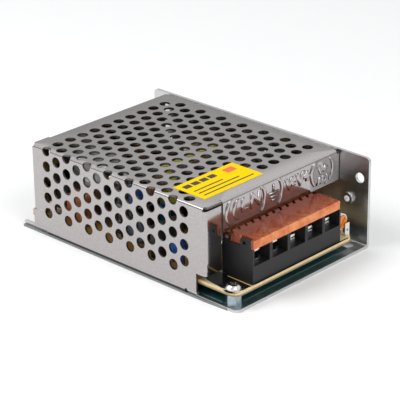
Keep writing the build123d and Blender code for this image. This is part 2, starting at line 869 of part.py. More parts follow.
# Mains side parts
def fuse_caps():
    """X of the middle of each metal cap."""
    reach = fuse_length / 2 - fuse_cap / 2
    return (fuse_x - reach, fuse_x + reach)


def input_fuse():
    """Glass fuse with metal caps, one sealed piece."""
    fuse = rod_x(fuse_y, fuse_z, fuse_x - fuse_length / 2, fuse_x + fuse_length / 2, fuse_radius - fuse_glass_step)
    for x in fuse_caps():
        fuse += rod_x(fuse_y, fuse_z, x - fuse_cap / 2, x + fuse_cap / 2, fuse_radius)
    return fuse


def fuse_clips():
    """Two spring clips that stand on the board and hold the fuse's caps."""
    inner = fuse_radius + clip_clearance
    pieces = []
    for x in fuse_caps():
        x0, x1 = x - clip_width / 2, x + clip_width / 2
        ring = rod_x(fuse_y, fuse_z, x0, x1, inner + clip_sheet) - rod_x(fuse_y, fuse_z, x0, x1, inner)
        ring -= block(x0, x1, fuse_y - clip_mouth / 2, fuse_y + clip_mouth / 2, fuse_z, fuse_z + 2 * inner)
        foot = block(x0, x1, fuse_y - clip_foot / 2, fuse_y + clip_foot / 2, board_top_z,
                     fuse_z - fuse_radius - clip_foot_gap)
        pieces.append(ring + foot)
    return pieces


def disc_on_leads(x, near_inset, radius, thickness, lead_gap, lift):
    """Dipped disc that stands on two leads, its flat faces towards the near side."""
    y = near_wall_y + near_inset
    z = board_top_z + radius + lift
    disc = rod_y(x, z, y - thickness / 2, y + thickness / 2, radius)
    disc = chamfer(disc.edges().filter_by(GeomType.CIRCLE), thickness * disc_edge)
    for side in (-1, 1):
        disc += lead(x + side * lead_gap / 2, y, board_top_z, z - radius / 2)
    return disc


def inrush_thermistor():
    """Large black disc near the rear."""
    return disc_on_leads(rear_x + thermistor_rear_inset, thermistor_near_inset, thermistor_radius,
                         thermistor_thickness, thermistor_lead_gap, thermistor_lift)


def varistor():
    """Dark blue disc across the mains."""
    return disc_on_leads(front_x - varistor_front_inset, varistor_near_inset, varistor_radius,
                         varistor_thickness, varistor_lead_gap, varistor_lift)


def safety_capacitors():
    """Two small blue discs."""
    return [disc_on_leads(front_x - inset, safety_near_inset, safety_radius, safety_thickness, safety_lead_gap,
                          safety_lift) for inset in safety_front_insets]


def filter_capacitor():
    """Pale boxed film capacitor across the mains."""
    x = front_x - filter_front_inset
    y = near_wall_y + filter_near_inset
    box = block(x - filter_width / 2, x + filter_width / 2, y, y + filter_length, board_top_z,
                board_top_z + filter_height)
    return chamfer(box.edges().filter_by(Axis.Z), filter_corner)


def snubber_capacitor():
    """Brown dipped film capacitor, a soft-edged slab on two leads."""
    x0 = rear_x + snubber_rear_inset
    x1 = x0 + snubber_length
    y = near_wall_y + snubber_near_inset
    low = board_top_z + snubber_lift
    body = block(x0, x1, y - snubber_thickness / 2, y + snubber_thickness / 2, low, low + snubber_height)
    body = fillet(body.edges().filter_by(Axis.Y), snubber_corner)
    for x in (x0 + snubber_lead_inset, x1 - snubber_lead_inset):
        body += lead(x, y, board_top_z, low + snubber_lead_inset)
    return body


def can(x, y, radius, height):
    """Electrolytic can, turned from its profile: sleeve, rolled neck near the foot and bevelled rim."""
    neck = radius * can_neck
    groove = radius * can_groove
    rim = radius * can_rim
    profile = [(0, 0), (radius, 0), (radius, neck), (radius - groove, neck + groove), (radius, neck + 2 * groove),
               (radius, height - rim), (radius - rim, height), (0, height)]
    section = Plane.XZ * make_face(Polyline(*profile, close=True))
    return Pos(x, y, board_top_z) * revolve(section, Axis.Z)


def bulk_capacitor():
    """Large mains can."""
    return can(bulk_x, bulk_y, bulk_radius, cover_under_z - bulk_cover_gap - board_top_z)


def small_capacitor():
    """Small can for the control supply."""
    return can(rear_x + small_can_rear_inset, small_can_y, small_can_radius, small_can_height)


def output_capacitors():
    """Cans on the output side."""
    height = cover_under_z - output_can_cover_gap - board_top_z
    return [can(front_x - output_can_front_inset, y, output_can_radius, height) for y in output_can_y]


def bridge_rectifier():
    """Flat four-legged block."""
    x = rear_x + bridge_rear_inset
    y0, y1 = bridge_y - bridge_length / 2, bridge_y + bridge_length / 2
    low = board_top_z + bridge_lift
    body = block(x - bridge_thickness / 2, x + bridge_thickness / 2, y0, y1, low, low + bridge_height)
    body = chamfer(body.edges().filter_by(Axis.X).group_by(Axis.Z)[-1].sort_by(Axis.Y)[-1], bridge_corner)
    for i in range(4):
        y = bridge_y + (i - 1.5) * bridge_lead_pitch
        body += block(x - lead_width / 2, x + lead_width / 2, y - bridge_lead_width / 2, y + bridge_lead_width / 2,
                      board_top_z, low)
    return body


def choke_frame(grow):
    """Outer block of the line choke's core less its window, the window's edges drawn in by a gap."""
    half_length = choke_length / 2
    half_depth = choke_depth / 2
    low = board_top_z + choke_lift
    high = low + choke_height
    frame = block(choke_x - half_length, choke_x + half_length, choke_y - half_depth, choke_y + half_depth,
                  low, high)
    inside = half_length - choke_leg - grow
    return frame - block(choke_x - inside, choke_x + inside, choke_y - half_depth, choke_y + half_depth,
                         low + choke_leg, high - choke_leg)


def line_choke_core():
    """Closed rectangular ferrite core that stands across the board."""
    return choke_frame(0)


def line_choke_windings():
    """Two wound bobbins on the core's upright legs, with feet on the board."""
    low = board_top_z + choke_lift + choke_leg + choke_gap
    pieces = []
    for side in (-1, 1):
        x = choke_x + side * bobbin_spread
        bobbin = block(x - bobbin_width / 2, x + bobbin_width / 2, choke_y - bobbin_depth / 2,
                       choke_y + bobbin_depth / 2, low, low + bobbin_height)
        bobbin = fillet(bobbin.edges().filter_by(Axis.Z), bobbin_corner)
        for foot_y in (choke_y - bobbin_foot_y, choke_y + bobbin_foot_y):
            bobbin += block(x - bobbin_foot_width / 2, x + bobbin_foot_width / 2, foot_y - bobbin_foot_depth / 2,
                            foot_y + bobbin_foot_depth / 2, board_top_z, low + join)
        pieces.append(bobbin - choke_frame(choke_gap))
    return pieces


# Switching and transformer
def transistor_heatsink():
    """Bent aluminium plate that stands on the board."""
    back_y = sink_y - sink_plate
    outline = [(sink_y + sink_flange, sink_top_z), (back_y, sink_top_z), (back_y, board_top_z)]
    sink = bent_along_x(outline, sink_plate, sink_bend, sink_rear_x, sink_front_x)
    return sink - rod_y(transistor_x, transistor_hole_z, back_y - cut_over, sink_y + cut_over, bore_radius)


def power_device(x, back_y, hole_z, way):
    """Flat power device against a plate at back_y, facing way along Y, without its leads."""
    low = hole_z - tab_below_hole
    half = device_width / 2
    tab = block(x - half, x + half, back_y, back_y + way * tab_thickness, low, hole_z + tab_above_hole)
    body = block(x - half, x + half, back_y, back_y + way * device_depth, low, hole_z - body_below_hole)
    return tab + body - rod_y(x, hole_z, back_y, back_y + way * device_depth, bore_radius)


def device_leads(x):
    """X ranges of a power device's three leads."""
    centres = [x + i * device_lead_pitch for i in (-1, 0, 1)]
    return [(c - device_lead_width / 2, c + device_lead_width / 2) for c in centres]


def switching_transistor():
    """Power transistor on its heatsink, its leads straight down."""
    device = power_device(transistor_x, sink_y, transistor_hole_z, 1)
    y = sink_y + device_lead_depth
    half = device_lead_thickness / 2
    for x0, x1 in device_leads(transistor_x):
        device += block(x0, x1, y - half, y + half, board_top_z, transistor_hole_z - tab_below_hole + join)
    return device


def output_rectifier():
    """Power rectifier clamped against the far wall, its leads bent forward to the board's edge."""
    device = power_device(rectifier_x, rectifier_back_y, rectifier_hole_z, -1)
    body_z = rectifier_hole_z - tab_below_hole
    bend_z = (board_top_z + body_z) / 2
    wall_y = rectifier_back_y - device_lead_depth
    board_y = board_far_y - rectifier_lead_inset
    half = device_lead_thickness / 2
    for x0, x1 in device_leads(rectifier_x):
        device += block(x0, x1, wall_y - half, wall_y + half, bend_z - half, body_z + join)
        device += block(x0, x1, board_y - half, wall_y + half, bend_z - half, bend_z + half)
        device += block(x0, x1, board_y - half, board_y + half, board_top_z, bend_z + half)
    return device


def side_screw(x, z, head_y, tip_y, way):
    """Slotted screw along Y: its head rests at head_y and looks towards way."""
    top_y = head_y + way * head_height
    head = rod_y(x, z, head_y, top_y, head_radius)
    slot = block(x - slot_length / 2, x + slot_length / 2, top_y - way * slot_depth, top_y,
                 z - recess_width / 2, z + recess_width / 2)
    return head - slot + rod_y(x, z, head_y, tip_y, screw_radius)


def transistor_screw():
    """Screw through the transistor's tab into the heatsink."""
    return side_screw(transistor_x, transistor_hole_z, sink_y + tab_thickness, sink_y - sink_plate - screw_end, 1)


def rectifier_screw():
    """Screw that clamps the rectifier, through a hole in the far wall."""
    return side_screw(rectifier_x, rectifier_hole_z, rectifier_back_y - tab_thickness,
                      far_wall_y - rectifier_screw_inset, -1)


def rectifier_pad():
    """Insulating pad between the output rectifier and the far wall."""
    half = device_width / 2 + pad_margin
    pad = block(rectifier_x - half, rectifier_x + half, rectifier_back_y, far_inner_y,
                rectifier_hole_z - tab_below_hole - pad_margin / 2,
                rectifier_hole_z + tab_above_hole + pad_margin / 2)
    return pad - rod_y(rectifier_x, rectifier_hole_z, rectifier_back_y, far_inner_y, bore_radius)


def core_frame(grow):
    """Outer block of the transformer's core, grown by a tape's thickness."""
    half_depth = core_depth / 2
    half_width = core_width / 2 + grow
    return block(transformer_x - half_depth, transformer_x + half_depth, transformer_y - half_width,
                 transformer_y + half_width, core_base_z - grow, core_top_z + grow)


def main_transformer_core():
    """Two ferrite halves joined into one core with three upright legs."""
    inner = core_middle_leg / 2
    outer = core_width / 2 - core_outer_leg
    core = core_frame(0)
    for side in (-1, 1):
        core -= block(transformer_x - core_depth, transformer_x + core_depth, transformer_y + side * inner,
                      transformer_y + side * outer, core_base_z + core_yoke, core_top_z - core_yoke)
    return core


def main_transformer_winding():
    """Wound bobbin round the middle leg, its pin rails standing on the board."""
    reach = core_depth / 2 + winding_reach
    half = core_width / 2 - core_outer_leg - 2 * winding_gap
    low, high = core_base_z + core_yoke + winding_gap, core_top_z - core_yoke - winding_gap
    coil = block(transformer_x - reach, transformer_x + reach, transformer_y - half, transformer_y + half, low,
                 high)
    coil = fillet(coil.edges().filter_by(Axis.Z), winding_corner)
    for side in (-1, 1):
        x = transformer_x + side * (core_depth / 2 + rail_place)
        coil += block(x - rail_width / 2, x + rail_width / 2, transformer_y - half, transformer_y + half,
                      board_top_z + rail_lift, low + join)
        for i in range(rail_pins):
            y = transformer_y + (i - (rail_pins - 1) / 2) * rail_pin_pitch
            coil += lead(x, y, board_top_z, board_top_z + rail_lift + join)
    leg_x = core_depth / 2 + winding_gap
    leg_y = core_middle_leg / 2 + winding_gap
    return coil - block(transformer_x - leg_x, transformer_x + leg_x, transformer_y - leg_y, transformer_y + leg_y,
                        low - cut_over, high + cut_over)


def main_transformer_tape():
    """Yellow tape wound once round the core."""
    band = core_frame(tape_thickness) - core_frame(0)
    return band & block(transformer_x - tape_width / 2, transformer_x + tape_width / 2, near_wall_y, far_wall_y,
                        0, case_height)


# Output side parts
def output_choke_core():
    """Iron powder ring that lies flat."""
    low, high = toroid_z - toroid_thickness / 2, toroid_z + toroid_thickness / 2
    ring = post(toroid_x, toroid_y, low, high, toroid_radius) - post(toroid_x, toroid_y, low, high, toroid_hole)
    return chamfer(ring.edges().filter_by(GeomType.CIRCLE), toroid_edge)


def output_choke_winding():
    """Turns of thick wire round the ring, closed and side by side, on two legs."""
    across = toroid_radius - toroid_hole
    middle = (toroid_radius + toroid_hole) / 2
    outer = Box(across + 2 * (turn_gap + wire), wire, toroid_thickness + 2 * (turn_fit + wire))
    inner = Box(across + 2 * turn_gap, wire, toroid_thickness + 2 * turn_fit)
    leg_x = middle + across / 2 + turn_gap + wire / 2
    leg_top = toroid_z - toroid_thickness / 2 - turn_fit - wire / 2
    turns = []
    for i in range(turn_count):
        angle = (360 - turn_arc) / 2 + turn_arc * i / (turn_count - 1)
        turn = Pos(middle, 0, toroid_z) * (outer - inner)
        if i in (0, turn_count - 1):
            turn += block(leg_x - wire / 2, leg_x + wire / 2, -wire / 2, wire / 2, board_top_z, leg_top)
        turns.append(Pos(toroid_x, toroid_y, 0) * Rot(0, 0, angle) * turn)
    return turns


def chip(x, y, length, leads):
    """Chip in a moulded case with leads down both long sides."""
    low = board_top_z + chip_lift
    half = chip_width / 2
    body = block(x - length / 2, x + length / 2, y - half, y + half, low, low + chip_height)
    body = chamfer(body.edges().group_by(Axis.Z)[-1], chip_edge)
    for i in range(leads):
        lead_x = x + (i - (leads - 1) / 2) * device_lead_pitch
        for side in (-1, 1):
            body += block(lead_x - device_lead_width / 2, lead_x + device_lead_width / 2, y + side * half,
                          y + side * (half + chip_lead_reach), board_top_z, low + chip_height / 2)
    return body


def control_chip():
    """Controller."""
    return chip(transformer_x - control_chip_gap, control_chip_y, control_chip_length, control_chip_leads)


def optocoupler():
    """White coupler between output and controller."""
    return chip(transformer_x - optocoupler_gap, optocoupler_y, optocoupler_length, optocoupler_leads)


def shunt_regulator():
    """Small half-round three-legged part."""
    x = transformer_x - regulator_gap
    low = board_top_z + regulator_lift
    high = low + regulator_height
    body = post(x, regulator_y, low, high, regulator_radius)
    body -= block(x - regulator_radius, x + regulator_radius, regulator_y + regulator_flat,
                  regulator_y + regulator_radius, low, high)
    for i in (-1, 0, 1):
        body += lead(x + i * regulator_lead_pitch, regulator_y, board_top_z, low + join)
    return body


def axial_part(x, y, length, radius, turn):
    """Round body that lies on the board with its two leads bent down."""
    z = board_top_z + radius + axial_lift
    end = length / 2
    half = lead_width / 2
    body = rod_x(0, 0, -end, end, radius)
    body = chamfer(body.edges().filter_by(GeomType.CIRCLE), radius * axial_edge)
    for side in (-1, 1):
        tip = side * (end + lead_bend_reach)
        body += block(side * (end - join), tip, -half, half, -half, half)
        body += block(tip - side * lead_width, tip, -half, half, board_top_z - z, half)
    return Pos(x, y, z) * Rot(0, 0, turn) * body


def power_resistors():
    """Resistors that lie on the board."""
    upright = axial_part(rear_x + upright_resistor_rear_inset, upright_resistor_y, resistor_length,
                         resistor_radius, 90)
    return [upright] + [axial_part(rear_x + pair_resistor_rear_inset, y, resistor_length, resistor_radius, 0)
                        for y in pair_resistor_y]


def small_diodes():
    """Diodes that lie on the board."""
    return [axial_part(rear_x + rear_diode_rear_inset, rear_diode_y, diode_length, diode_radius, 90),
            axial_part(transformer_x - far_diode_gap, far_diode_y, diode_length, diode_radius, 0)]


def save(name, shape):
    """Write one node, as one solid or a group of solids."""
    if isinstance(shape, (list, tuple)):
        solids = [solid for piece in shape for solid in piece.solids()]
    else:
        solids = shape.solids()
    node = solids[0] if len(solids) == 1 else Compound(children=list(solids))
    export_step(node, f"parts/{name}.step")


single_nodes = [
    base_chassis, perforated_cover, cover_screws, plain_label,
    insulation_sheet, board_standoffs, board_screws, circuit_board,
    terminal_block, terminal_plates, terminal_cover,
    trimmer_body, trimmer_rotor, trimmer_bracket,
    input_fuse, fuse_clips, inrush_thermistor, varistor, safety_capacitors,
    filter_capacitor, snubber_capacitor, small_capacitor,
    line_choke_core, line_choke_windings, bridge_rectifier, bulk_capacitor,
    transistor_heatsink, switching_transistor, transistor_screw,
    main_transformer_core, main_transformer_winding, main_transformer_tape,
    output_rectifier, rectifier_pad, rectifier_screw,
    output_choke_core, output_choke_winding, output_capacitors,
    optocoupler, control_chip, shunt_regulator,
    power_resistors, small_diodes,
]

os.makedirs("parts", exist_ok=True)
for make in single_nodes:
    save(make.__name__, make())
for bay in range(bay_count):
    save(f"clamp_washer_{bay + 1}", clamp_washer(bay))
    save(f"terminal_screw_{bay + 1}", terminal_screw(bay))
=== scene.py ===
# %% [markdown]
# An open-case power supply, dressed for a picture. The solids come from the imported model: every size and
# place is settled there. This file gives each piece its finish and models again the few pieces whose look
# depends on fine form, such as the folded sheet with its punched holes.
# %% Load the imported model
import math

import bmesh
import bpy
from mathutils import Matrix, Vector


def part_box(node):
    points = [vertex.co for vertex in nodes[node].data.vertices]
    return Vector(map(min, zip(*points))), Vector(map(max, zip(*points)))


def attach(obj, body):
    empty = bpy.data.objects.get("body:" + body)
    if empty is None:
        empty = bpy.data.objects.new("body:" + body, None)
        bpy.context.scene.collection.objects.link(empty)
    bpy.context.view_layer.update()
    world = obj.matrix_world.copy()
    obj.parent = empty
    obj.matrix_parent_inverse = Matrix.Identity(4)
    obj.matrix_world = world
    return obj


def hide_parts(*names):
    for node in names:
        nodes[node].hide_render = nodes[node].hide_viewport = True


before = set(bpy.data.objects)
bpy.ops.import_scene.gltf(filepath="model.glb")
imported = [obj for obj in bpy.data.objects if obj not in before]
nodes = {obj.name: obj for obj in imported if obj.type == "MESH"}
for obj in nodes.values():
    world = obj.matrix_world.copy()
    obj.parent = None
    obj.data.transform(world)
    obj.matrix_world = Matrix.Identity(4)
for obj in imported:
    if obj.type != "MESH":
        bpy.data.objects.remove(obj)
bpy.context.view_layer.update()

MM = 0.001
scene = bpy.context.scene
print("nodes:", len(nodes))

# %% [markdown]
# The view comes first, because everything after it is compared with what it shows. A long lens far off
# keeps the upright edges nearly parallel, as product pictures have them.
# %% Camera
camera_place = Vector((0.427287, -0.441184, 0.287971))
camera_yaw = math.radians(43.8334)
camera_pitch = math.radians(23.9605)
camera_roll = math.radians(-0.7585)
camera = bpy.data.cameras.new("camera")
camera.lens = 161.73
camera.sensor_width = 36.0
camera_object = bpy.data.objects.new("camera", camera)
turned = Matrix.Rotation(camera_yaw, 4, "Z") @ Matrix.Rotation(math.pi / 2 - camera_pitch, 4, "X")
camera_object.matrix_world = Matrix.Translation(camera_place) @ turned @ Matrix.Rotation(camera_roll, 4, "Z")
scene.collection.objects.link(camera_object)
scene.camera = camera_object
print("camera distance:", round(camera_place.length, 3), "m")

# %% [markdown]
# Three small helpers serve every finish. One turns sRGB colours, as read, into the linear
# numbers that a shader wants. One adds a node with its settings and links. One builds a plain surface:
# a noise of a real grain size moves its colour, its roughness and its height together, as wear does.
# %% Colour and node helpers
def srgb(text):
    """Linear colour of a hex value such as C0C0C0."""
    parts = [int(text[i:i + 2], 16) / 255 for i in (0, 2, 4)]
    linear = [p / 12.92 if p <= 0.04045 else ((p + 0.055) / 1.055) ** 2.4 for p in parts]
    return (*linear, 1.0)


def add(tree, kind, settings=None, links=None):
    """A node with its properties or socket values set, and its sockets linked."""
    node = tree.nodes.new(kind)
    for key, value in (settings or {}).items():
        if isinstance(key, str) and key.islower():
            setattr(node, key, value)
        else:
            node.inputs[key].default_value = value
    for key, source in (links or {}).items():
        tree.links.new(source, node.inputs[key])
    return node


def new_material(name):
    """An empty node material and its tree."""
    material = bpy.data.materials.new(name)
    material.use_nodes = True
    material.node_tree.nodes.clear()
    return material, material.node_tree


def blend_colours(tree, factor, low, high, start=0.35, end=0.65):
    """A ramp from one colour to another over part of a texture's range."""
    ramp = add(tree, "ShaderNodeValToRGB", links={"Fac": factor})
    ramp.color_ramp.elements[0].position = start
    ramp.color_ramp.elements[0].color = srgb(low)
    ramp.color_ramp.elements[1].position = end
    ramp.color_ramp.elements[1].color = srgb(high)
    return ramp.outputs["Color"]


def grain(tree, size_mm, stretch=(1, 1, 1), detail=3.0):
    """A noise whose blots are about size_mm across, drawn out along an axis where stretch is small."""
    place = add(tree, "ShaderNodeTexCoord").outputs["Object"]
    scale = tuple(s / (size_mm * MM) for s in stretch)
    mapping = add(tree, "ShaderNodeMapping", {"Scale": scale}, {"Vector": place})
    return add(tree, "ShaderNodeTexNoise", {"Scale": 1.0, "Detail": detail, "Roughness": 0.6},
               {"Vector": mapping.outputs["Vector"]}).outputs["Fac"]


def surface(name, colour, shade, size_mm, roughness, swing=0.06, height_mm=0.01, stretch=(1, 1, 1), **sockets):
    """A surface whose colour, roughness and height follow one grain."""
    material, tree = new_material(name)
    blots = grain(tree, size_mm, stretch)
    rough = add(tree, "ShaderNodeMapRange", {"To Min": roughness - swing, "To Max": roughness + swing},
                {"Value": blots}).outputs["Result"]
    bump = add(tree, "ShaderNodeBump", {"Distance": height_mm * MM}, {"Height": blots}).outputs["Normal"]
    settings = {key.replace("_", " ").title().replace("Ior", "IOR"): value for key, value in sockets.items()}
    shader = add(tree, "ShaderNodeBsdfPrincipled", settings,
                 {"Base Color": blend_colours(tree, blots, colour, shade), "Roughness": rough, "Normal": bump})
    add(tree, "ShaderNodeOutputMaterial", links={"Surface": shader.outputs["BSDF"]})
    return material


# %% [markdown]
# Metals. The cover is zinc-coated sheet steel, satin and a little cloudy. The base is rolled aluminium
# sheet, whose fine lines run along the sheet. Screws are nickel plated, and the contacts are brass with a
# bright tin coat. A metal's look is mostly what it mirrors, so roughness matters more than colour here.
# %% Metals
zinc_steel = surface("zinc_coated_steel_satin", "B1ACAB", "B9B5B4", 0.9, 0.12, 0.03, 0.0008, metallic=1.0)
# A punch and a shear leave the sheet's own cut edge bare, torn and dull.
sheared_edge = surface("sheared_steel_edge", "6C6966", "7C7976", 0.4, 0.4, metallic=1.0)
rolled_aluminium = surface("rolled_aluminium_sheet", "C8C8C8", "D4D4D4", 0.6, 0.32, 0.04, 0.0006,
                           stretch=(0.05, 1, 1), metallic=1.0)
sawn_aluminium = surface("sheared_aluminium_edge", "8E8E90", "9C9C9E", 0.5, 0.45, metallic=1.0)
nickel_plate = surface("nickel_plated_steel", "D2CEC8", "DEDBD6", 0.8, 0.12, 0.04, 0.002, metallic=1.0)
zinc_plate = surface("zinc_plated_steel", "C2C4C6", "D0D2D4", 0.8, 0.25, 0.05, 0.002, metallic=1.0)
blue_zinc = surface("blue_zinc_plated_steel", "93A5AD", "A9BAC0", 1.5, 0.22, 0.05, 0.002, metallic=1.0)
tinned_brass = surface("tinned_brass_bright", "DCDAD4", "E8E7E2", 1.0, 0.2, 0.05, 0.002, metallic=1.0)
heatsink_aluminium = surface("heatsink_aluminium", "BDBEC0", "CDCED0", 0.8, 0.35, 0.05, 0.003, metallic=1.0)
print("metals:", len(bpy.data.materials))

# %% [markdown]
# Plastics and coatings. Moulded nylon is nearly black with a faint grain. The lid is amber polycarbonate that
# lets some light through; the glow of its upright walls and the dark of its flat top are painted light and shade.
# Parts that were dipped in resin or paint have a soft gloss. Ferrite and epoxy mouldings are dull.
# %% Plastics and coatings
black_nylon = surface("black_moulded_nylon", "121214", "1A1A1C", 0.7, 0.5, 0.06, 0.004, ior=1.5)
white_moulding = surface("white_polyester_moulding", "E2DFD8", "EFECE6", 0.6, 0.4, ior=1.55)
orange_moulding = surface("orange_polyester_moulding", "DD7A1E", "E98C2C", 0.6, 0.35, ior=1.55)
black_epoxy = surface("black_moulded_epoxy", "161617", "222224", 0.5, 0.5, ior=1.55)
white_epoxy = surface("white_moulded_epoxy", "D6D4CC", "E4E2DA", 0.5, 0.45, ior=1.55)
black_dip = surface("black_dipped_coating", "141414", "232321", 1.2, 0.38, height_mm=0.03, ior=1.5)
blue_dip = surface("blue_dipped_coating", "1F58A8", "2C6CC0", 1.2, 0.22, height_mm=0.03, ior=1.5)
navy_dip = surface("navy_dipped_coating", "1B2436", "26324A", 1.2, 0.3, height_mm=0.03, ior=1.5)
brown_dip = surface("brown_dipped_coating", "A2592A", "B66C36", 1.2, 0.28, height_mm=0.04, ior=1.5)
grey_case = surface("dark_potted_case", "2A2A2C", "38383A", 0.8, 0.45, ior=1.5)
resistor_coat = surface("resistor_lacquer", "6E8590", "8397A0", 0.8, 0.4, ior=1.5)
ferrite = surface("sintered_ferrite", "232322", "30302E", 0.6, 0.55, height_mm=0.02, ior=1.6)
powder_core = surface("painted_powder_core", "B9A331", "CDB846", 0.7, 0.45, height_mm=0.02, ior=1.5)
silicone_pad = surface("grey_silicone_pad", "77777A", "85858A", 0.7, 0.6, ior=1.43)
fuse_glass = surface("fuse_glass_and_caps", "C9CDCB", "D8DCDA", 2.0, 0.12, ior=1.5)
insulation_film = surface("green_insulation_film", "1C3C3C", "284E4E", 1.5, 0.35, height_mm=0.01, ior=1.5)
# A black strip that stands for the shade in the gap under the cover's skirt: painted shade.
painted_gap_shade = surface("black_painted_gap_shade", "0C0D0D", "131414", 1.5, 0.4, height_mm=0.01, ior=1.57)
yellow_film = surface("yellow_label_film_matt", "FFD200", "FFD800", 1.2, 0.6, 0.04, 0.002, specular_ior_level=0.05)
label_ink = surface("dark_label_ink", "24220E", "2E2B14", 0.5, 0.4, ior=1.5)
warm_ink = surface("orange_label_ink", "F4602A", "F86C38", 0.5, 0.4, ior=1.5)
board_lacquer = surface("black_solder_lacquer", "0E0E10", "161618", 0.8, 0.2, 0.05, 0.004, ior=1.5)
# White silk print, which along the board's edge also serves as a painted highlight.
silk_ink_and_edge_highlight = surface("white_silk_ink_and_painted_edge_highlight", "E4E0D2", "F0EDE2", 0.4, 0.5, ior=1.5)
pale_ink = surface("pale_yellow_silk_ink", "C9A95C", "D8BC78", 0.4, 0.5, ior=1.5)
bare_copper = surface("lacquered_copper_pad", "B98A3C", "C99C50", 0.6, 0.3, metallic=1.0)


# %% [markdown]
# Two finishes change with place. The board is pale paper laminate with a dark green solder mask on its
# underside only, which the bright floor below it mirrors. The lid is thin clear amber plastic with painted light and
# shade: its flat top is painted dark, lighter towards the front, its front and back walls a bright orange glow and
# its end walls a darker red.
# %% Finishes that change with place
def coordinate(tree, output, axis):
    """One axis of a coordinate output, such as the object's own height."""
    place = add(tree, "ShaderNodeTexCoord").outputs[output]
    return add(tree, "ShaderNodeSeparateXYZ", links={"Vector": place}).outputs[axis]


def mix_colours(tree, factor, low, high):
    """Blend two colour outputs by a factor."""
    node = add(tree, "ShaderNodeMix", {"data_type": "RGBA"})
    for socket, source in zip((node.inputs[0], node.inputs[6], node.inputs[7]), (factor, low, high)):
        tree.links.new(source, socket)
    return node.outputs[2]


def laminate(mask_height_mm):
    """Paper laminate, with a solder mask below the given height."""
    material, tree = new_material("paper_phenolic_laminate")
    blots = grain(tree, 0.9)
    # Where X is below 36 mm, under the cover, the bare laminate is darker and more golden.
    front_of_36_mm = add(tree, "ShaderNodeMath", {"operation": "GREATER_THAN", 1: 36 * MM},
                {0: coordinate(tree, "Object", "X")}).outputs["Value"]
    pale = mix_colours(tree, front_of_36_mm, blend_colours(tree, blots, "C08A3A", "D6A456"),
                       blend_colours(tree, blots, "D9C08A", "E8D4A6"))
    mask = blend_colours(tree, blots, "44827C", "4E8E88")
    # The sawn edge is tan in its lower half, where the copper side's resin has run.
    upper = add(tree, "ShaderNodeMath", {"operation": "GREATER_THAN", 1: (mask_height_mm + 0.6) * MM},
                {0: coordinate(tree, "Object", "Z")}).outputs["Value"]
    pale = mix_colours(tree, upper, blend_colours(tree, blots, "9A7444", "AE8856"), pale)
    above = add(tree, "ShaderNodeMath", {"operation": "GREATER_THAN", 1: mask_height_mm * MM},
                {0: coordinate(tree, "Object", "Z")}).outputs["Value"]
    bump = add(tree, "ShaderNodeBump", {"Distance": 0.006 * MM}, {"Height": blots}).outputs["Normal"]
    shader = add(tree, "ShaderNodeBsdfPrincipled", {"Roughness": 0.38, "IOR": 1.55},
                 {"Base Color": mix_colours(tree, above, mask, pale), "Normal": bump})
    add(tree, "ShaderNodeOutputMaterial", links={"Surface": shader.outputs["BSDF"]})
    return material


def clear_amber():
    """Clear amber plastic with painted light and shade: a painted glow on its upright walls and a painted dark top.
    """
    material, tree = new_material("clear_amber_polycarbonate")
    blots = grain(tree, 4.0)
    upward = add(tree, "ShaderNodeMath", {"operation": "ABSOLUTE"}, {0: coordinate(tree, "Normal", "Z")})
    top = add(tree, "ShaderNodeMapRange", {"From Min": 0.3, "From Max": 0.9},
              {"Value": upward.outputs["Value"]}).outputs["Result"]
    sideways = add(tree, "ShaderNodeMath", {"operation": "ABSOLUTE"}, {0: coordinate(tree, "Normal", "Y")})
    end = add(tree, "ShaderNodeMath", {"operation": "GREATER_THAN", 1: 0.8}, {0: sideways.outputs["Value"]})
    # Painted light and shade: upright walls facing X get a bright orange glow, and the end walls a darker red.
    painted_wall_glow = mix_colours(tree, end.outputs["Value"], blend_colours(tree, blots, "E87026", "FFA254"),
                       blend_colours(tree, blots, "86371A", "A04A26"))
    # The top's painted colour turns lighter towards the front edge, a painted glow of light coming up through it.
    painted_front_light = add(tree, "ShaderNodeMapRange", {"From Min": 47 * MM, "From Max": 53.5 * MM},
                  {"Value": coordinate(tree, "Object", "X")}).outputs["Result"]
    painted_top_shade = mix_colours(tree, painted_front_light, blend_colours(tree, blots, "A8431F", "C45A30"),
                       blend_colours(tree, blots, "B04A22", "E07A3C"))
    clear = add(tree, "ShaderNodeMapRange", {"To Min": 0.25, "To Max": 0.5}, {"Value": top}).outputs["Result"]
    bump = add(tree, "ShaderNodeBump", {"Distance": 0.03 * MM}, {"Height": blots}).outputs["Normal"]
    shader = add(tree, "ShaderNodeBsdfPrincipled", {"Roughness": 0.14, "IOR": 1.58},
                 {"Base Color": mix_colours(tree, top, painted_wall_glow, painted_top_shade), "Transmission Weight": clear, "Normal": bump})
    add(tree, "ShaderNodeOutputMaterial", links={"Surface": shader.outputs["BSDF"]})
    return material


phenolic_board = laminate(5.5)
amber_lid = clear_amber()
# The leaf behind the lid is the same plastic; the shade of the dark block it stands over is painted into its darker
# colour.
leaf_amber_painted_shade = surface("amber_polycarbonate_painted_shade", "6E2C17", "84381E", 2.0, 0.2, ior=1.58)
print("board and lid:", phenolic_board.name, amber_lid.name)

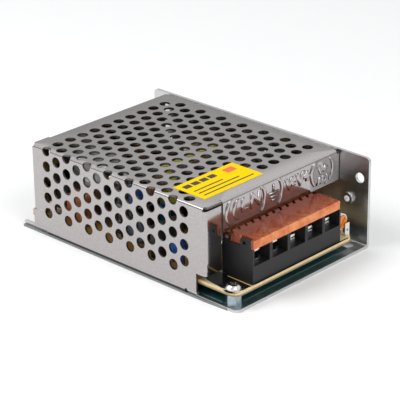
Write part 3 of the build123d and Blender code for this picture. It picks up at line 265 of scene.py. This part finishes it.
# %% [markdown]
# Wound wire shows as close ridges across the coil. A wave pattern of the wire's real pitch gives the
# ridges their height, and painted shade darkens the valleys between them.
# %% Wound wire
def wound(name, colour, valley_painted_shade, pitch_mm, direction, roughness=0.3):
    """Close turns of wire or tape, one ridge a turn, stacked along one axis."""
    material, tree = new_material(name)
    place = add(tree, "ShaderNodeTexCoord").outputs["Object"]
    # A wave node draws a full turn for each 0.314 of its own length at scale 1.
    scale = 0.314 / (pitch_mm * MM)
    wave = add(tree, "ShaderNodeTexWave", {"bands_direction": direction, "Scale": scale, "Distortion": 0.6},
               {"Vector": place}).outputs["Fac"]
    bump = add(tree, "ShaderNodeBump", {"Distance": pitch_mm * 0.4 * MM}, {"Height": wave}).outputs["Normal"]
    # The valleys between the turns take a darker colour: painted shade.
    shader = add(tree, "ShaderNodeBsdfPrincipled", {"Roughness": roughness, "IOR": 1.5},
                 {"Base Color": blend_colours(tree, wave, valley_painted_shade, colour, 0.1, 0.6), "Normal": bump})
    add(tree, "ShaderNodeOutputMaterial", links={"Surface": shader.outputs["BSDF"]})
    return material


copper_turns = wound("enamelled_copper_turns", "9C4A22", "40180A", 0.8, "Z")
taped_coil = wound("taped_transformer_coil", "4A3A1C", "241B0D", 1.2, "Z")
bare_turns = surface("enamelled_copper_wire", "A4552A", "B9683A", 0.8, 0.28, ior=1.5)


# %% [markdown]
# A capacitor's sleeve is shrunk PVC with pale print. Short pale fields in rows, cut from a wave by a
# noise, read as that print from a step away and say nothing.
# %% Printed sleeve
def sleeve(name, colour, ink, stripe=None, stripe_x_mm=0.0, stripe_z_mm=(0.0, 0.0)):
    """Shrunk sleeve with broken rows of plain printed fields, and where asked a pole stripe past an X."""
    material, tree = new_material(name)
    place = add(tree, "ShaderNodeTexCoord").outputs["Object"]
    wave = add(tree, "ShaderNodeTexWave", {"bands_direction": "Z", "Scale": 105.0}, {"Vector": place}).outputs["Fac"]
    blots = grain(tree, 2.2, (1, 1, 0.4), 0.0)
    both = add(tree, "ShaderNodeMath", {"operation": "MULTIPLY"}, {0: wave, 1: blots}).outputs["Value"]
    colours = blend_colours(tree, both, colour, ink, 0.49, 0.52)
    if stripe:
        past = add(tree, "ShaderNodeMath", {"operation": "GREATER_THAN", 1: stripe_x_mm * MM},
                   {0: coordinate(tree, "Object", "X")}).outputs["Value"]
        middle, reach = sum(stripe_z_mm) / 2, (stripe_z_mm[1] - stripe_z_mm[0]) / 2
        within = add(tree, "ShaderNodeMath", {"operation": "COMPARE", 1: middle * MM, 2: reach * MM},
                     {0: coordinate(tree, "Object", "Z")}).outputs["Value"]
        past = add(tree, "ShaderNodeMath", {"operation": "MULTIPLY"}, {0: past, 1: within}).outputs["Value"]
        colours = mix_colours(tree, past, colours, blend_colours(tree, blots, stripe, stripe))
    shader = add(tree, "ShaderNodeBsdfPrincipled", {"Roughness": 0.25, "IOR": 1.53}, {"Base Color": colours})
    add(tree, "ShaderNodeOutputMaterial", links={"Surface": shader.outputs["BSDF"]})
    return material


black_sleeve = sleeve("black_shrunk_sleeve", "131316", "6E7072")
striped_sleeve = sleeve("black_shrunk_sleeve_blue_stripe", "0E0E11", "8A8C8E",
                        "1C4F96", -5.2, (20.5, 28.6))


def layered_tape(change_z_mm):
    """Polyester tape, yellow above a height and blue below it."""
    material, tree = new_material("yellow_over_blue_polyester_tape")
    blots = grain(tree, 1.5)
    above = add(tree, "ShaderNodeMath", {"operation": "GREATER_THAN", 1: change_z_mm * MM},
                {0: coordinate(tree, "Object", "Z")}).outputs["Value"]
    colours = mix_colours(tree, above, blend_colours(tree, blots, "22B4FC", "34C0FF"),
                          blend_colours(tree, blots, "DCD65C", "E6E06C"))
    shader = add(tree, "ShaderNodeBsdfPrincipled", {"Roughness": 0.25, "IOR": 1.57}, {"Base Color": colours})
    add(tree, "ShaderNodeOutputMaterial", links={"Surface": shader.outputs["BSDF"]})
    return material


coil_tape = layered_tape(17.0)
brown_glue = surface("brown_holding_glue", "6E4428", "805434", 1.5, 0.4, height_mm=0.05, ior=1.48)

# %% [markdown]
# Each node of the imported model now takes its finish.
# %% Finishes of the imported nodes
finishes = {
    rolled_aluminium: ["base_chassis"],
    zinc_steel: ["perforated_cover"],
    zinc_plate: ["cover_screws", "transistor_screw", "rectifier_screw"],
    nickel_plate: ["board_screws"],
    blue_zinc: ["board_standoffs"],
    tinned_brass: ["terminal_plates", "trimmer_bracket", "fuse_clips"],
    heatsink_aluminium: ["transistor_heatsink"],
    yellow_film: ["plain_label"],
    insulation_film: ["insulation_sheet"],
    phenolic_board: ["circuit_board"],
    black_nylon: ["terminal_block"],
    amber_lid: ["terminal_cover"],
    white_moulding: ["trimmer_body"],
    orange_moulding: ["trimmer_rotor"],
    fuse_glass: ["input_fuse"],
    black_dip: ["inrush_thermistor"],
    navy_dip: ["varistor"],
    blue_dip: ["safety_capacitors"],
    brown_dip: ["snubber_capacitor"],
    grey_case: ["filter_capacitor"],
    black_sleeve: ["small_capacitor", "output_capacitors"],
    striped_sleeve: ["bulk_capacitor"],
    ferrite: ["line_choke_core", "main_transformer_core"],
    copper_turns: ["line_choke_windings"],
    taped_coil: ["main_transformer_winding"],
    coil_tape: ["main_transformer_tape"],
    black_epoxy: ["bridge_rectifier", "switching_transistor", "output_rectifier", "control_chip",
                  "shunt_regulator", "small_diodes"],
    silicone_pad: ["rectifier_pad"],
    powder_core: ["output_choke_core"],
    bare_turns: ["output_choke_winding"],
    white_epoxy: ["optocoupler"],
    resistor_coat: ["power_resistors"],
}
for bay in range(1, 6):
    finishes[tinned_brass].append(f"clamp_washer_{bay}")
    finishes[nickel_plate].append(f"terminal_screw_{bay}")
for material, names in finishes.items():
    for name in names:
        nodes[name].data.materials.clear()
        nodes[name].data.materials.append(material)
left_plain = sorted(set(nodes) - {n for names in finishes.values() for n in names})
print("finished nodes:", sum(map(len, finishes.values())), "left plain:", left_plain)

# %% [markdown]
# Nothing real has perfectly sharp edges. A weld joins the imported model's loose triangles, and a narrow
# bevel then gives each sharp edge a small round that catches the light. Both are live modifiers, so the
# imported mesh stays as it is.
# %% Soft edges
def soften(name, width_mm, segments=3):
    """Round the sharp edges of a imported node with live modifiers."""
    node = nodes[name]
    weld = node.modifiers.new("weld", "WELD")
    weld.merge_threshold = 0.002 * MM
    bevel = node.modifiers.new("soft_edges", "BEVEL")
    bevel.width = width_mm * MM
    bevel.segments = segments
    bevel.limit_method = "ANGLE"
    bevel.angle_limit = math.radians(35)
    bevel.harden_normals = False


soft_edges = {
    0.35: ["terminal_cover", "board_screws"],
    0.15: ["terminal_block", "base_chassis"],
    0.10: ["trimmer_body", "trimmer_rotor", "trimmer_bracket", "terminal_plates", "board_standoffs"]
          + [f"clamp_washer_{bay}" for bay in range(1, 6)],
}
for width_mm, names in soft_edges.items():
    for name in names:
        soften(name, width_mm)


# %% [markdown]
# A finished mesh becomes an object at the origin, takes its material and rides on a body of the
# imported model.
# %% Pieces and bars
def piece(name, mesh_maker, material, body="root"):
    """Turn a bmesh into an object that rides on a body."""
    mesh = bpy.data.meshes.new(name)
    mesh_maker.to_mesh(mesh)
    mesh_maker.free()
    made = bpy.data.objects.new(name, mesh)
    scene.collection.objects.link(made)
    made.data.materials.append(material)
    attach(made, body)
    return made


def add_bar(bm, low, high):
    """A box between two corners given in millimetres."""
    low, high = Vector(low) * MM, Vector(high) * MM
    size = high - low
    place = Matrix.Translation((low + high) / 2) @ Matrix.Diagonal((*size, 1.0))
    return bmesh.ops.create_cube(bm, size=1.0, matrix=place)


# %% [markdown]
# The cover is one sheet of steel: punched flat, then folded. It is made here the same way. The outline
# and the holes are drawn on a flat blank and filled, the blank is cut across where it will bend, and then
# every point is folded round the bend radius. Folding the mesh gives true bent holes on the near edge,
# which no cut through a finished box would give.
# %% Flat blank of the cover
sheet = 0.8
bend = 1.3
arc = bend * math.pi / 2
cover_low, cover_high = (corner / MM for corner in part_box("perforated_cover"))
rear_x, near_y, bottom_z = cover_low
front_x, far_y, top_z = cover_high
front_bend, rear_bend = front_x - bend, rear_x + bend
near_bend, far_bend = near_y + bend, far_y - bend
flap_near_y = -27.6
return_end_y = -28.5
flap_bottom_z = 24.0
rear_flap_bottom_z = 10.5
return_low_z, return_top_z = 10.0, 34.6
tab_end_y = -27.9
front_tab_x, rear_tab_x = 41.0, -48.0
end_bottom_z = 2.6
print("cover spans", [round(v, 2) for v in (*cover_low, *cover_high)])


def side_v(z):
    """Place on the blank of a height on the near side."""
    return near_bend - arc - (top_z - bend - z)


def far_v(z):
    """Place on the blank of a height on the far flange."""
    return far_bend + arc + (top_z - bend - z)


front_end_u = front_bend + arc + (top_z - bend - flap_bottom_z)
rear_end_u = rear_bend - arc - (top_z - bend - rear_flap_bottom_z)
return_length = return_end_y - near_bend
slit = 0.3
front_outline = [
    (33.9, far_v(28.0)), (33.9, far_bend + arc), (front_bend - 0.4, far_bend + arc),
    (front_bend - 0.4, far_bend - 0.2), (front_bend + arc + 0.3, far_bend - 0.2),
    (front_bend + arc + 0.3, far_y - 0.2), (front_end_u, far_y - 0.2), (front_end_u, flap_near_y),
    (front_bend - slit, flap_near_y), (front_bend - slit, tab_end_y), (front_tab_x, tab_end_y),
    (front_tab_x, near_bend + 0.5), (front_bend, near_bend - 0.1), (front_bend, side_v(return_top_z)),
    (front_bend + arc + return_length, side_v(return_top_z)),
    (front_bend + arc + return_length, side_v(return_low_z)),
    (36.6, side_v(return_low_z)), (36.6, side_v(end_bottom_z)), (31.0, side_v(end_bottom_z)),
    (31.0, side_v(bottom_z)),
]
rear_outline = [
    (-41.3, side_v(bottom_z)), (-41.3, side_v(end_bottom_z)), (rear_x, side_v(end_bottom_z)),
    (rear_x, side_v(return_low_z - 0.4)), (rear_bend + slit, side_v(return_low_z - 0.4)),
    (rear_bend + slit, side_v(return_low_z)), (rear_bend - arc - return_length, side_v(return_low_z)),
    (rear_bend - arc - return_length, side_v(return_top_z)), (rear_bend, side_v(return_top_z)),
    (rear_bend, near_bend - 0.1), (rear_tab_x, near_bend + 0.5), (rear_tab_x, tab_end_y),
    (rear_bend + slit, tab_end_y), (rear_bend + slit, flap_near_y), (rear_end_u, flap_near_y),
    (rear_end_u, far_bend - 0.2), (rear_bend + 0.4, far_bend - 0.2), (rear_bend + 0.4, far_bend + arc),
    (-40.9, far_bend + arc), (-40.9, far_v(28.0)),
]
outline = front_outline + rear_outline

# %% Punched holes of the blank
hole_radius = 2.1
hole_pitch = 6.294
hole_columns = 14
hole_first_x = -39.78
first_row_y = near_y - 0.15 + hole_pitch
first_row_z = top_z - sheet - hole_pitch
holes = []
for column in range(hole_columns):
    x = hole_first_x + column * hole_pitch * math.sqrt(3) / 2
    shift = (column % 2) * hole_pitch / 2
    for row in range(10 + column % 2):
        holes.append((x, first_row_y - shift + row * hole_pitch))
    for row in range(4):
        holes.append((x, side_v(first_row_z + shift - row * hole_pitch)))
    if column % 2 == 0:
        holes.append((x, (first_row_y + side_v(first_row_z)) / 2))
screw_holes = [(x, far_v(31.4)) for x in (-24.0, 24.0)]
print("punched holes:", len(holes))

bm = bmesh.new()
corners = [bm.verts.new((u, v, 0)) for u, v in outline]
for i, corner in enumerate(corners):
    bm.edges.new((corners[i - 1], corner))
for centres, radius in ((holes, hole_radius), (screw_holes, 1.5)):
    for u, v in centres:
        bmesh.ops.create_circle(bm, segments=24, radius=radius, matrix=Matrix.Translation((u, v, 0)))
bmesh.ops.triangle_fill(bm, use_beauty=True, edges=bm.edges[:])
print("blank:", len(bm.faces), "faces")

# %% Fold the blank
bend_steps = 8
cuts = []
for step in range(bend_steps + 1):
    along = arc * step / bend_steps
    cuts += [((front_bend + along, 0, 0), (1, 0, 0)), ((rear_bend - along, 0, 0), (1, 0, 0)),
             ((0, near_bend - along, 0), (0, 1, 0)), ((0, far_bend + along, 0), (0, 1, 0))]
for place, normal in cuts:
    everything = bm.verts[:] + bm.edges[:] + bm.faces[:]
    bmesh.ops.bisect_plane(bm, geom=everything, dist=1e-5, plane_co=place, plane_no=normal)


def fold_line(s, low, high):
    """Place along the sheet, and depth below its face, of a point folded down past either bend line."""
    if low <= s <= high:
        return s, 0.0
    edge, way = (high, 1) if s > high else (low, -1)
    run = abs(s - edge)
    if run < arc:
        return edge + way * bend * math.sin(run / bend), bend * (1 - math.cos(run / bend))
    return edge + way * bend, bend + run - arc


def stays_flat(u, v):
    """True for the corner tabs of the top and the low rear tab, which the end bends leave alone."""
    in_top_tab = near_bend - 0.2 < v < tab_end_y + 0.01
    in_low_tab = v < side_v(return_low_z) - 0.2
    return in_top_tab or in_low_tab


def folded(u, v):
    """The point of the folded cover for a point of the blank."""
    x, depth = (u, 0.0) if stays_flat(u, v) else fold_line(u, rear_bend, front_bend)
    far_limit = far_bend if rear_bend <= u <= front_bend else far_y
    y, drop = fold_line(v, near_bend, far_limit)
    run = max(near_bend - v, v - far_limit, 0.0)
    angle = min(run / bend, math.pi / 2)
    inward_y = math.sin(angle) if v < near_bend else -math.sin(angle)
    return Vector((x, y + depth * inward_y, top_z - drop - depth * math.cos(angle)))


for vert in bm.verts:
    vert.co = folded(vert.co.x, vert.co.y) * MM
bmesh.ops.remove_doubles(bm, verts=bm.verts[:], dist=0.001 * MM)
bmesh.ops.recalc_face_normals(bm, faces=bm.faces[:])
top_faces = [f for f in bm.faces if abs(f.normal.z) > 0.99 and f.calc_center_median().z > (top_z - 0.1) * MM]
if sum(f.normal.z for f in top_faces) < 0:
    bmesh.ops.reverse_faces(bm, faces=bm.faces[:])
for face in bm.faces:
    face.smooth = True
print("folded:", len(bm.faces), "faces, top faces", len(top_faces))

cover = piece("folded_cover", bm, zinc_steel)
thick = cover.modifiers.new("sheet", "SOLIDIFY")
thick.thickness = sheet * MM
thick.offset = -1.0
thick.use_quality_normals = True
cover.data.materials.append(sheared_edge)
thick.material_offset_rim = 1
rim = cover.modifiers.new("deburred", "BEVEL")
rim.width = 0.06 * MM
rim.segments = 2
rim.limit_method = "ANGLE"
rim.angle_limit = math.radians(40)
rim.harden_normals = True
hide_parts("perforated_cover")

# %% [markdown]
# Under the skirt of the cover the floor of the base shows its own sheared edge, and above it a black strip
# placed in the narrow gap paints the shade there. Both are long strips, drawn as an outline and given thickness.
# %% Edge of the floor
def upright_slab(name, outline, low_z, high_z, material):
    """A flat outline in millimetres raised from one height to another."""
    bm = bmesh.new()
    face = bm.faces.new([bm.verts.new((x, y, low_z)) for x, y in outline])
    raised = bmesh.ops.extrude_face_region(bm, geom=[face])["geom"]
    verts = [v for v in raised if isinstance(v, bmesh.types.BMVert)]
    bmesh.ops.translate(bm, verts=verts, vec=(0, 0, high_z - low_z))
    bmesh.ops.scale(bm, vec=(MM, MM, MM), verts=bm.verts[:])
    bmesh.ops.recalc_face_normals(bm, faces=bm.faces[:])
    return piece(name, bm, material)


floor_edge_top, painted_shade_top = 0.9, 1.95
floor_edge = [(-54.9, -35.6), (-54.9, -36.6), (40.0, -36.6), (50.5, -36.0), (50.5, -35.6)]
upright_slab("floor_sheet_edge", floor_edge, 0.02, floor_edge_top, sawn_aluminium)
# This black strip in the gap is painted shade.
gap_shade_outline = [(-41.0, -35.95), (-41.0, -36.4), (30.8, -36.4), (30.8, -35.95)]
upright_slab("painted_shade_in_the_gap", gap_shade_outline, floor_edge_top, painted_shade_top, painted_gap_shade)

# %% [markdown]
# Through the holes the transformer shows a wide lap of tape on its near side, and a lump of brown glue
# holds the large capacitor beside it. Both are simple forms: a thin slab and a squashed ball.
# %% Tape lap and glue
bm = bmesh.new()
add_bar(bm, (-5.8, -12.72, 17.5), (3.9, -12.52, 30.8))
piece("transformer_tape_lap", bm, coil_tape)
bm = bmesh.new()
bmesh.ops.create_icosphere(bm, subdivisions=3, radius=1.0)
squash = Matrix.Diagonal((2.6 * MM, 3.6 * MM, 4.6 * MM, 1.0))
bmesh.ops.transform(bm, verts=bm.verts[:], matrix=Matrix.Translation(Vector((0.6, -20.4, 27.6)) * MM) @ squash)
for face in bm.faces:
    face.smooth = True
piece("holding_glue", bm, brown_glue)

# %% [markdown]
# The sticker on the top is yellow film. Its print is kept plain: rows of dark fields where lines of print
# would be, and one warm field.
# %% Print on the label
label_low, label_high = (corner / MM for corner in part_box("plain_label"))
ink = 0.02
bm = bmesh.new()
fields = [(2.0, 4.6, start, start + 3.4) for start in (2.0, 6.2, 10.4, 14.6)]
fields += [(7.6, 8.3, 2.2, 17.0), (10.0, 10.7, 2.2, 23.0), (12.4, 13.1, 2.2, 28.0)]
for x0, x1, y0, y1 in fields:
    add_bar(bm, (label_low.x + x0, label_low.y + y0, label_high.z),
            (label_low.x + x1, label_low.y + y1, label_high.z + ink))
piece("label_print", bm, label_ink)
bm = bmesh.new()
add_bar(bm, (label_low.x + 2.0, label_low.y + 22.5, label_high.z),
        (label_low.x + 5.4, label_low.y + 27.5, label_high.z + ink))
piece("label_field", bm, warm_ink)

# %% [markdown]
# Behind the lid's flat top a curved leaf runs down round the hinge line, broken by moulded slots. It stays
# within a roll about the pin, so it can turn under the flap. Each tooth is one outline spun about the pin.
# %% Hinge leaf of the lid
pin_x, pin_z = 40.6, 21.7
leaf_outer, leaf_inner = 2.08, 1.2
tooth_pitch, tooth_width = 3.7, 2.3
bm = bmesh.new()
tooth_y = -23.2
while tooth_y + tooth_width < 20.4:
    corners = [bm.verts.new((pin_x + r, y, pin_z)) for r, y in (
        (leaf_inner, tooth_y), (leaf_outer, tooth_y), (leaf_outer, tooth_y + tooth_width),
        (leaf_inner, tooth_y + tooth_width))]
    start = bm.faces.new(corners)
    bmesh.ops.rotate(bm, verts=corners, cent=(pin_x, 0, pin_z), matrix=Matrix.Rotation(math.radians(-28), 3, "Y"))
    bmesh.ops.spin(bm, geom=[start, *start.edges, *corners], cent=(pin_x, 0, pin_z), axis=(0, 1, 0),
                   angle=math.radians(-66), steps=8, use_duplicate=False)
    tooth_y += tooth_pitch
bmesh.ops.scale(bm, vec=(MM, MM, MM), verts=bm.verts[:])
bmesh.ops.recalc_face_normals(bm, faces=bm.faces[:])
print("leaf teeth:", len(bm.faces), "faces")
piece("lid_hinge_leaf", bm, leaf_amber_painted_shade, body="lid")

# %% [markdown]
# The terminal marks are pressed into the flap from behind, so they stand up with soft flanks. Each starts
# as text with a round bevel, is made a mesh, and is then turned to face +X.
# %% Pressed marks
mark_round = 0.5
facing_front = Matrix(((0, 0, 1, 0), (1, 0, 0, 0), (0, 1, 0, 0), (0, 0, 0, 1)))


def pressed_text(bm, text, y, z, height):
    """Raised letters on the front flap, centred at y and z in millimetres."""
    curve = bpy.data.curves.new("mark", "FONT")
    curve.body = text
    curve.size = height * 1.4 * MM
    curve.align_x = "CENTER"
    curve.align_y = "CENTER"
    curve.extrude = 0.05 * MM
    curve.bevel_depth = mark_round * MM
    curve.bevel_resolution = 3
    holder = bpy.data.objects.new("mark", curve)
    mesh = bpy.data.meshes.new_from_object(holder)
    mesh.transform(Matrix.Translation((front_x * MM, y * MM, z * MM)) @ facing_front)
    bm.from_mesh(mesh)
    bpy.data.objects.remove(holder)
    bpy.data.meshes.remove(mesh)


bm = bmesh.new()
mark_z = 31.0
for text, y, height in (("(", -25.2, 6.6), ("(", -21.6, 5.2), ("L", -16.8, 4.6), ("N", -10.7, 5.4), (")", -6.2, 6.6),
                        (")", 3.0, 6.6), ("V-", 7.9, 4.0), ("V+", 14.9, 4.6), ("(", 20.0, 6.6), ("V+", 25.8, 3.0),
                        (")", 31.2, 6.0)):
    pressed_text(bm, text, y, mark_z, height)
pressed_text(bm, "ADJ", 25.8, mark_z - 4.0, 2.4)
for reach, drop in ((2.6, 0.6), (1.8, 2.0), (0.9, 3.4)):
    add_bar(bm, (front_x, -1.4 - reach, mark_z - drop), (front_x + 0.4, -1.4 + reach, mark_z - drop + 0.7))
add_bar(bm, (front_x, -1.75, mark_z), (front_x + 0.4, -1.05, mark_z + 3.0))
bmesh.ops.remove_doubles(bm, verts=bm.verts[:], dist=0.001 * MM)
bmesh.ops.recalc_face_normals(bm, faces=bm.faces[:])
for face in bm.faces:
    face.smooth = True
piece("pressed_marks", bm, zinc_steel)

# %% [markdown]
# The board's near front corner is covered with black lacquer round its screw. A white line follows the
# edge as a painted highlight of the board's edge and then leaves it in a curve of silk print, a pale line runs
# beside the terminal block, and a ring of bare copper shows under the screw's head. Each is a thin flat form made
# from a few points along the real line.
# %% Board print
board_low, board_high = (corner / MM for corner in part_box("circuit_board"))
board_top = board_high.z
corner_radius = 3.0
screw_x, screw_y = board_high.x - 3.6, board_low.y + 2.6


def rounded_corner(inset, steps=8):
    """Points along the board's near front corner, from the near edge to the front edge."""
    centre = Vector((board_high.x - corner_radius, board_low.y + corner_radius))
    radius = corner_radius - inset
    turns = [math.radians(-90 + 90 * i / steps) for i in range(steps + 1)]
    return [centre + Vector((math.cos(a), math.sin(a))) * radius for a in turns]


def flat_strip(bm, line, width, z):
    """A thin flat strip of even width along a line of points."""
    sides = []
    for i, point in enumerate(line):
        along = (line[min(i + 1, len(line) - 1)] - line[max(i - 1, 0)]).normalized()
        across = Vector((-along.y, along.x)) * width / 2
        sides.append([bm.verts.new((*(point + way * across), z)) for way in (-1, 1)])
    for (a, b), (c, d) in zip(sides, sides[1:]):
        bm.faces.new((a, c, d, b))


def scaled_flat(bm, slab=ink):
    """Give flat faces the ink's thickness and turn millimetres into metres."""
    bmesh.ops.recalc_face_normals(bm, faces=bm.faces[:])
    bmesh.ops.solidify(bm, geom=bm.faces[:], thickness=slab)
    bmesh.ops.scale(bm, vec=(MM, MM, MM), verts=bm.verts[:])
    bmesh.ops.recalc_face_normals(bm, faces=bm.faces[:])


white_line = [Vector(p) for p in ((35.3, -30.6), (36.6, -32.2), (38.4, -33.2), (40.6, -33.8), (43.6, -34.2),
                                  (47.0, -34.6))] + rounded_corner(0.35) + [Vector((board_high.x - 0.35, -27.4))]
bm = bmesh.new()
block_edge_y = -25.3
patch_line = [Vector((35.3, block_edge_y)), *white_line, Vector((board_high.x - 0.35, block_edge_y))]
corners = [bm.verts.new((*p, board_top)) for p in patch_line]
for i, corner in enumerate(corners):
    bm.edges.new((corners[i - 1], corner))
bmesh.ops.create_circle(bm, segments=32, radius=3.5, matrix=Matrix.Translation((screw_x, screw_y, board_top)))
bmesh.ops.triangle_fill(bm, use_beauty=True, edges=bm.edges[:])
scaled_flat(bm)
piece("board_lacquer_patch", bm, board_lacquer)
bm = bmesh.new()
block_face_x = 53.0
add_bar(bm, (block_face_x, -25.2, board_top), (board_high.x - 0.15, 26.5, board_top + ink))
piece("board_front_lacquer", bm, board_lacquer)
bm = bmesh.new()
# Where it follows the board's edge this white line is a painted highlight; where it curves away it is silk print.
flat_strip(bm, white_line, 0.5, board_top + ink)
scaled_flat(bm)
piece("board_edge_line", bm, silk_ink_and_edge_highlight)
bm = bmesh.new()
flat_strip(bm, [Vector((41.9, -26.2)), Vector((board_high.x - 0.4, -26.4))], 0.5, board_top + ink)
scaled_flat(bm)
piece("board_pale_line", bm, pale_ink)
bm = bmesh.new()
ring_steps = 32
ring_centre = Vector((screw_x, screw_y))
turns = [math.tau * i / ring_steps for i in range(ring_steps + 1)]
ring = [ring_centre + 3.2 * Vector((math.cos(a), math.sin(a))) for a in turns]
flat_strip(bm, ring, 0.55, board_top)
bmesh.ops.remove_doubles(bm, verts=bm.verts[:], dist=0.001)
scaled_flat(bm)
piece("screw_copper_ring", bm, bare_copper)

# %% [markdown]
# The stage is a wide white floor in plain soft studio light: an even world, one large lamp on the near side
# and a weaker one beyond the terminals. Sheet metal takes its greys from what it mirrors, so the backdrop
# that it shows is shaded low down.
# %% Stage and light
bm = bmesh.new()
bmesh.ops.create_grid(bm, x_segments=1, y_segments=1, size=4.0)
mesh = bpy.data.meshes.new("floor")
bm.to_mesh(mesh)
bm.free()
floor = bpy.data.objects.new("floor", mesh)
scene.collection.objects.link(floor)
floor_paint, tree = new_material("white_studio_floor")
shader = add(tree, "ShaderNodeBsdfPrincipled", {"Base Color": srgb("FFFFFF"), "Roughness": 0.9})
add(tree, "ShaderNodeOutputMaterial", links={"Surface": shader.outputs["BSDF"]})
floor.data.materials.append(floor_paint)

world = bpy.data.worlds.new("studio")
scene.world = world
world.use_nodes = True
tree = world.node_tree
tree.nodes.clear()
path = add(tree, "ShaderNodeLightPath")
heading = add(tree, "ShaderNodeTexCoord").outputs["Generated"]
height = add(tree, "ShaderNodeSeparateXYZ", links={"Vector": heading}).outputs["Z"]
# Metal and clear plastic show the same white backdrop, which is in shade low down and grows lighter upwards.
backdrop = add(tree, "ShaderNodeMapRange", {"From Min": 0.378, "From Max": 0.42, "To Min": 0.5, "To Max": 1.0},
               {"Value": height}).outputs["Result"]
# The room beyond the terminal end is dim.
facing = add(tree, "ShaderNodeVectorMath", {"operation": "DOT_PRODUCT", 1: (0.69, -0.72, 0.0)}, {0: heading})
room = add(tree, "ShaderNodeMapRange", {"From Min": 0.1, "From Max": 0.5, "To Min": 1.0, "To Max": 0.75},
           {"Value": facing.outputs["Value"]}).outputs["Result"]
mirrored = add(tree, "ShaderNodeMath", {"operation": "MULTIPLY"}, {0: backdrop, 1: room}).outputs["Value"]
around = add(tree, "ShaderNodeBackground", {"Color": srgb("CACBCC"), "Strength": 1.0})
glossy = add(tree, "ShaderNodeBackground", {"Color": srgb("FFFFFF")}, {"Strength": mirrored})
seen = add(tree, "ShaderNodeBackground", {"Color": srgb("FFFFFF"), "Strength": 1.0})
shown = add(tree, "ShaderNodeMath", {"operation": "MAXIMUM"},
            {0: path.outputs["Is Glossy Ray"], 1: path.outputs["Is Transmission Ray"]}).outputs["Value"]
lit = add(tree, "ShaderNodeMixShader", links={0: shown, 1: around.outputs[0], 2: glossy.outputs[0]})
mixed = add(tree, "ShaderNodeMixShader", links={0: path.outputs["Is Camera Ray"], 1: lit.outputs[0],
                                                2: seen.outputs[0]})
add(tree, "ShaderNodeOutputWorld", links={"Surface": mixed.outputs[0]})


def soft_lamp(name, place, size, watts):
    """Square soft lamp that points at the object."""
    lamp = bpy.data.lights.new(name, "AREA")
    lamp.size = size
    lamp.energy = watts
    holder = bpy.data.objects.new(name, lamp)
    holder.location = place
    holder.rotation_euler = (-Vector(place)).to_track_quat("-Z", "Y").to_euler()
    scene.collection.objects.link(holder)


soft_lamp("key_lamp", (-0.35, -0.55, 0.75), 0.5, 4.6)
soft_lamp("fill_lamp", (0.7, -0.15, 0.65), 0.5, 2.6)
scene.view_settings.view_transform = "Standard"
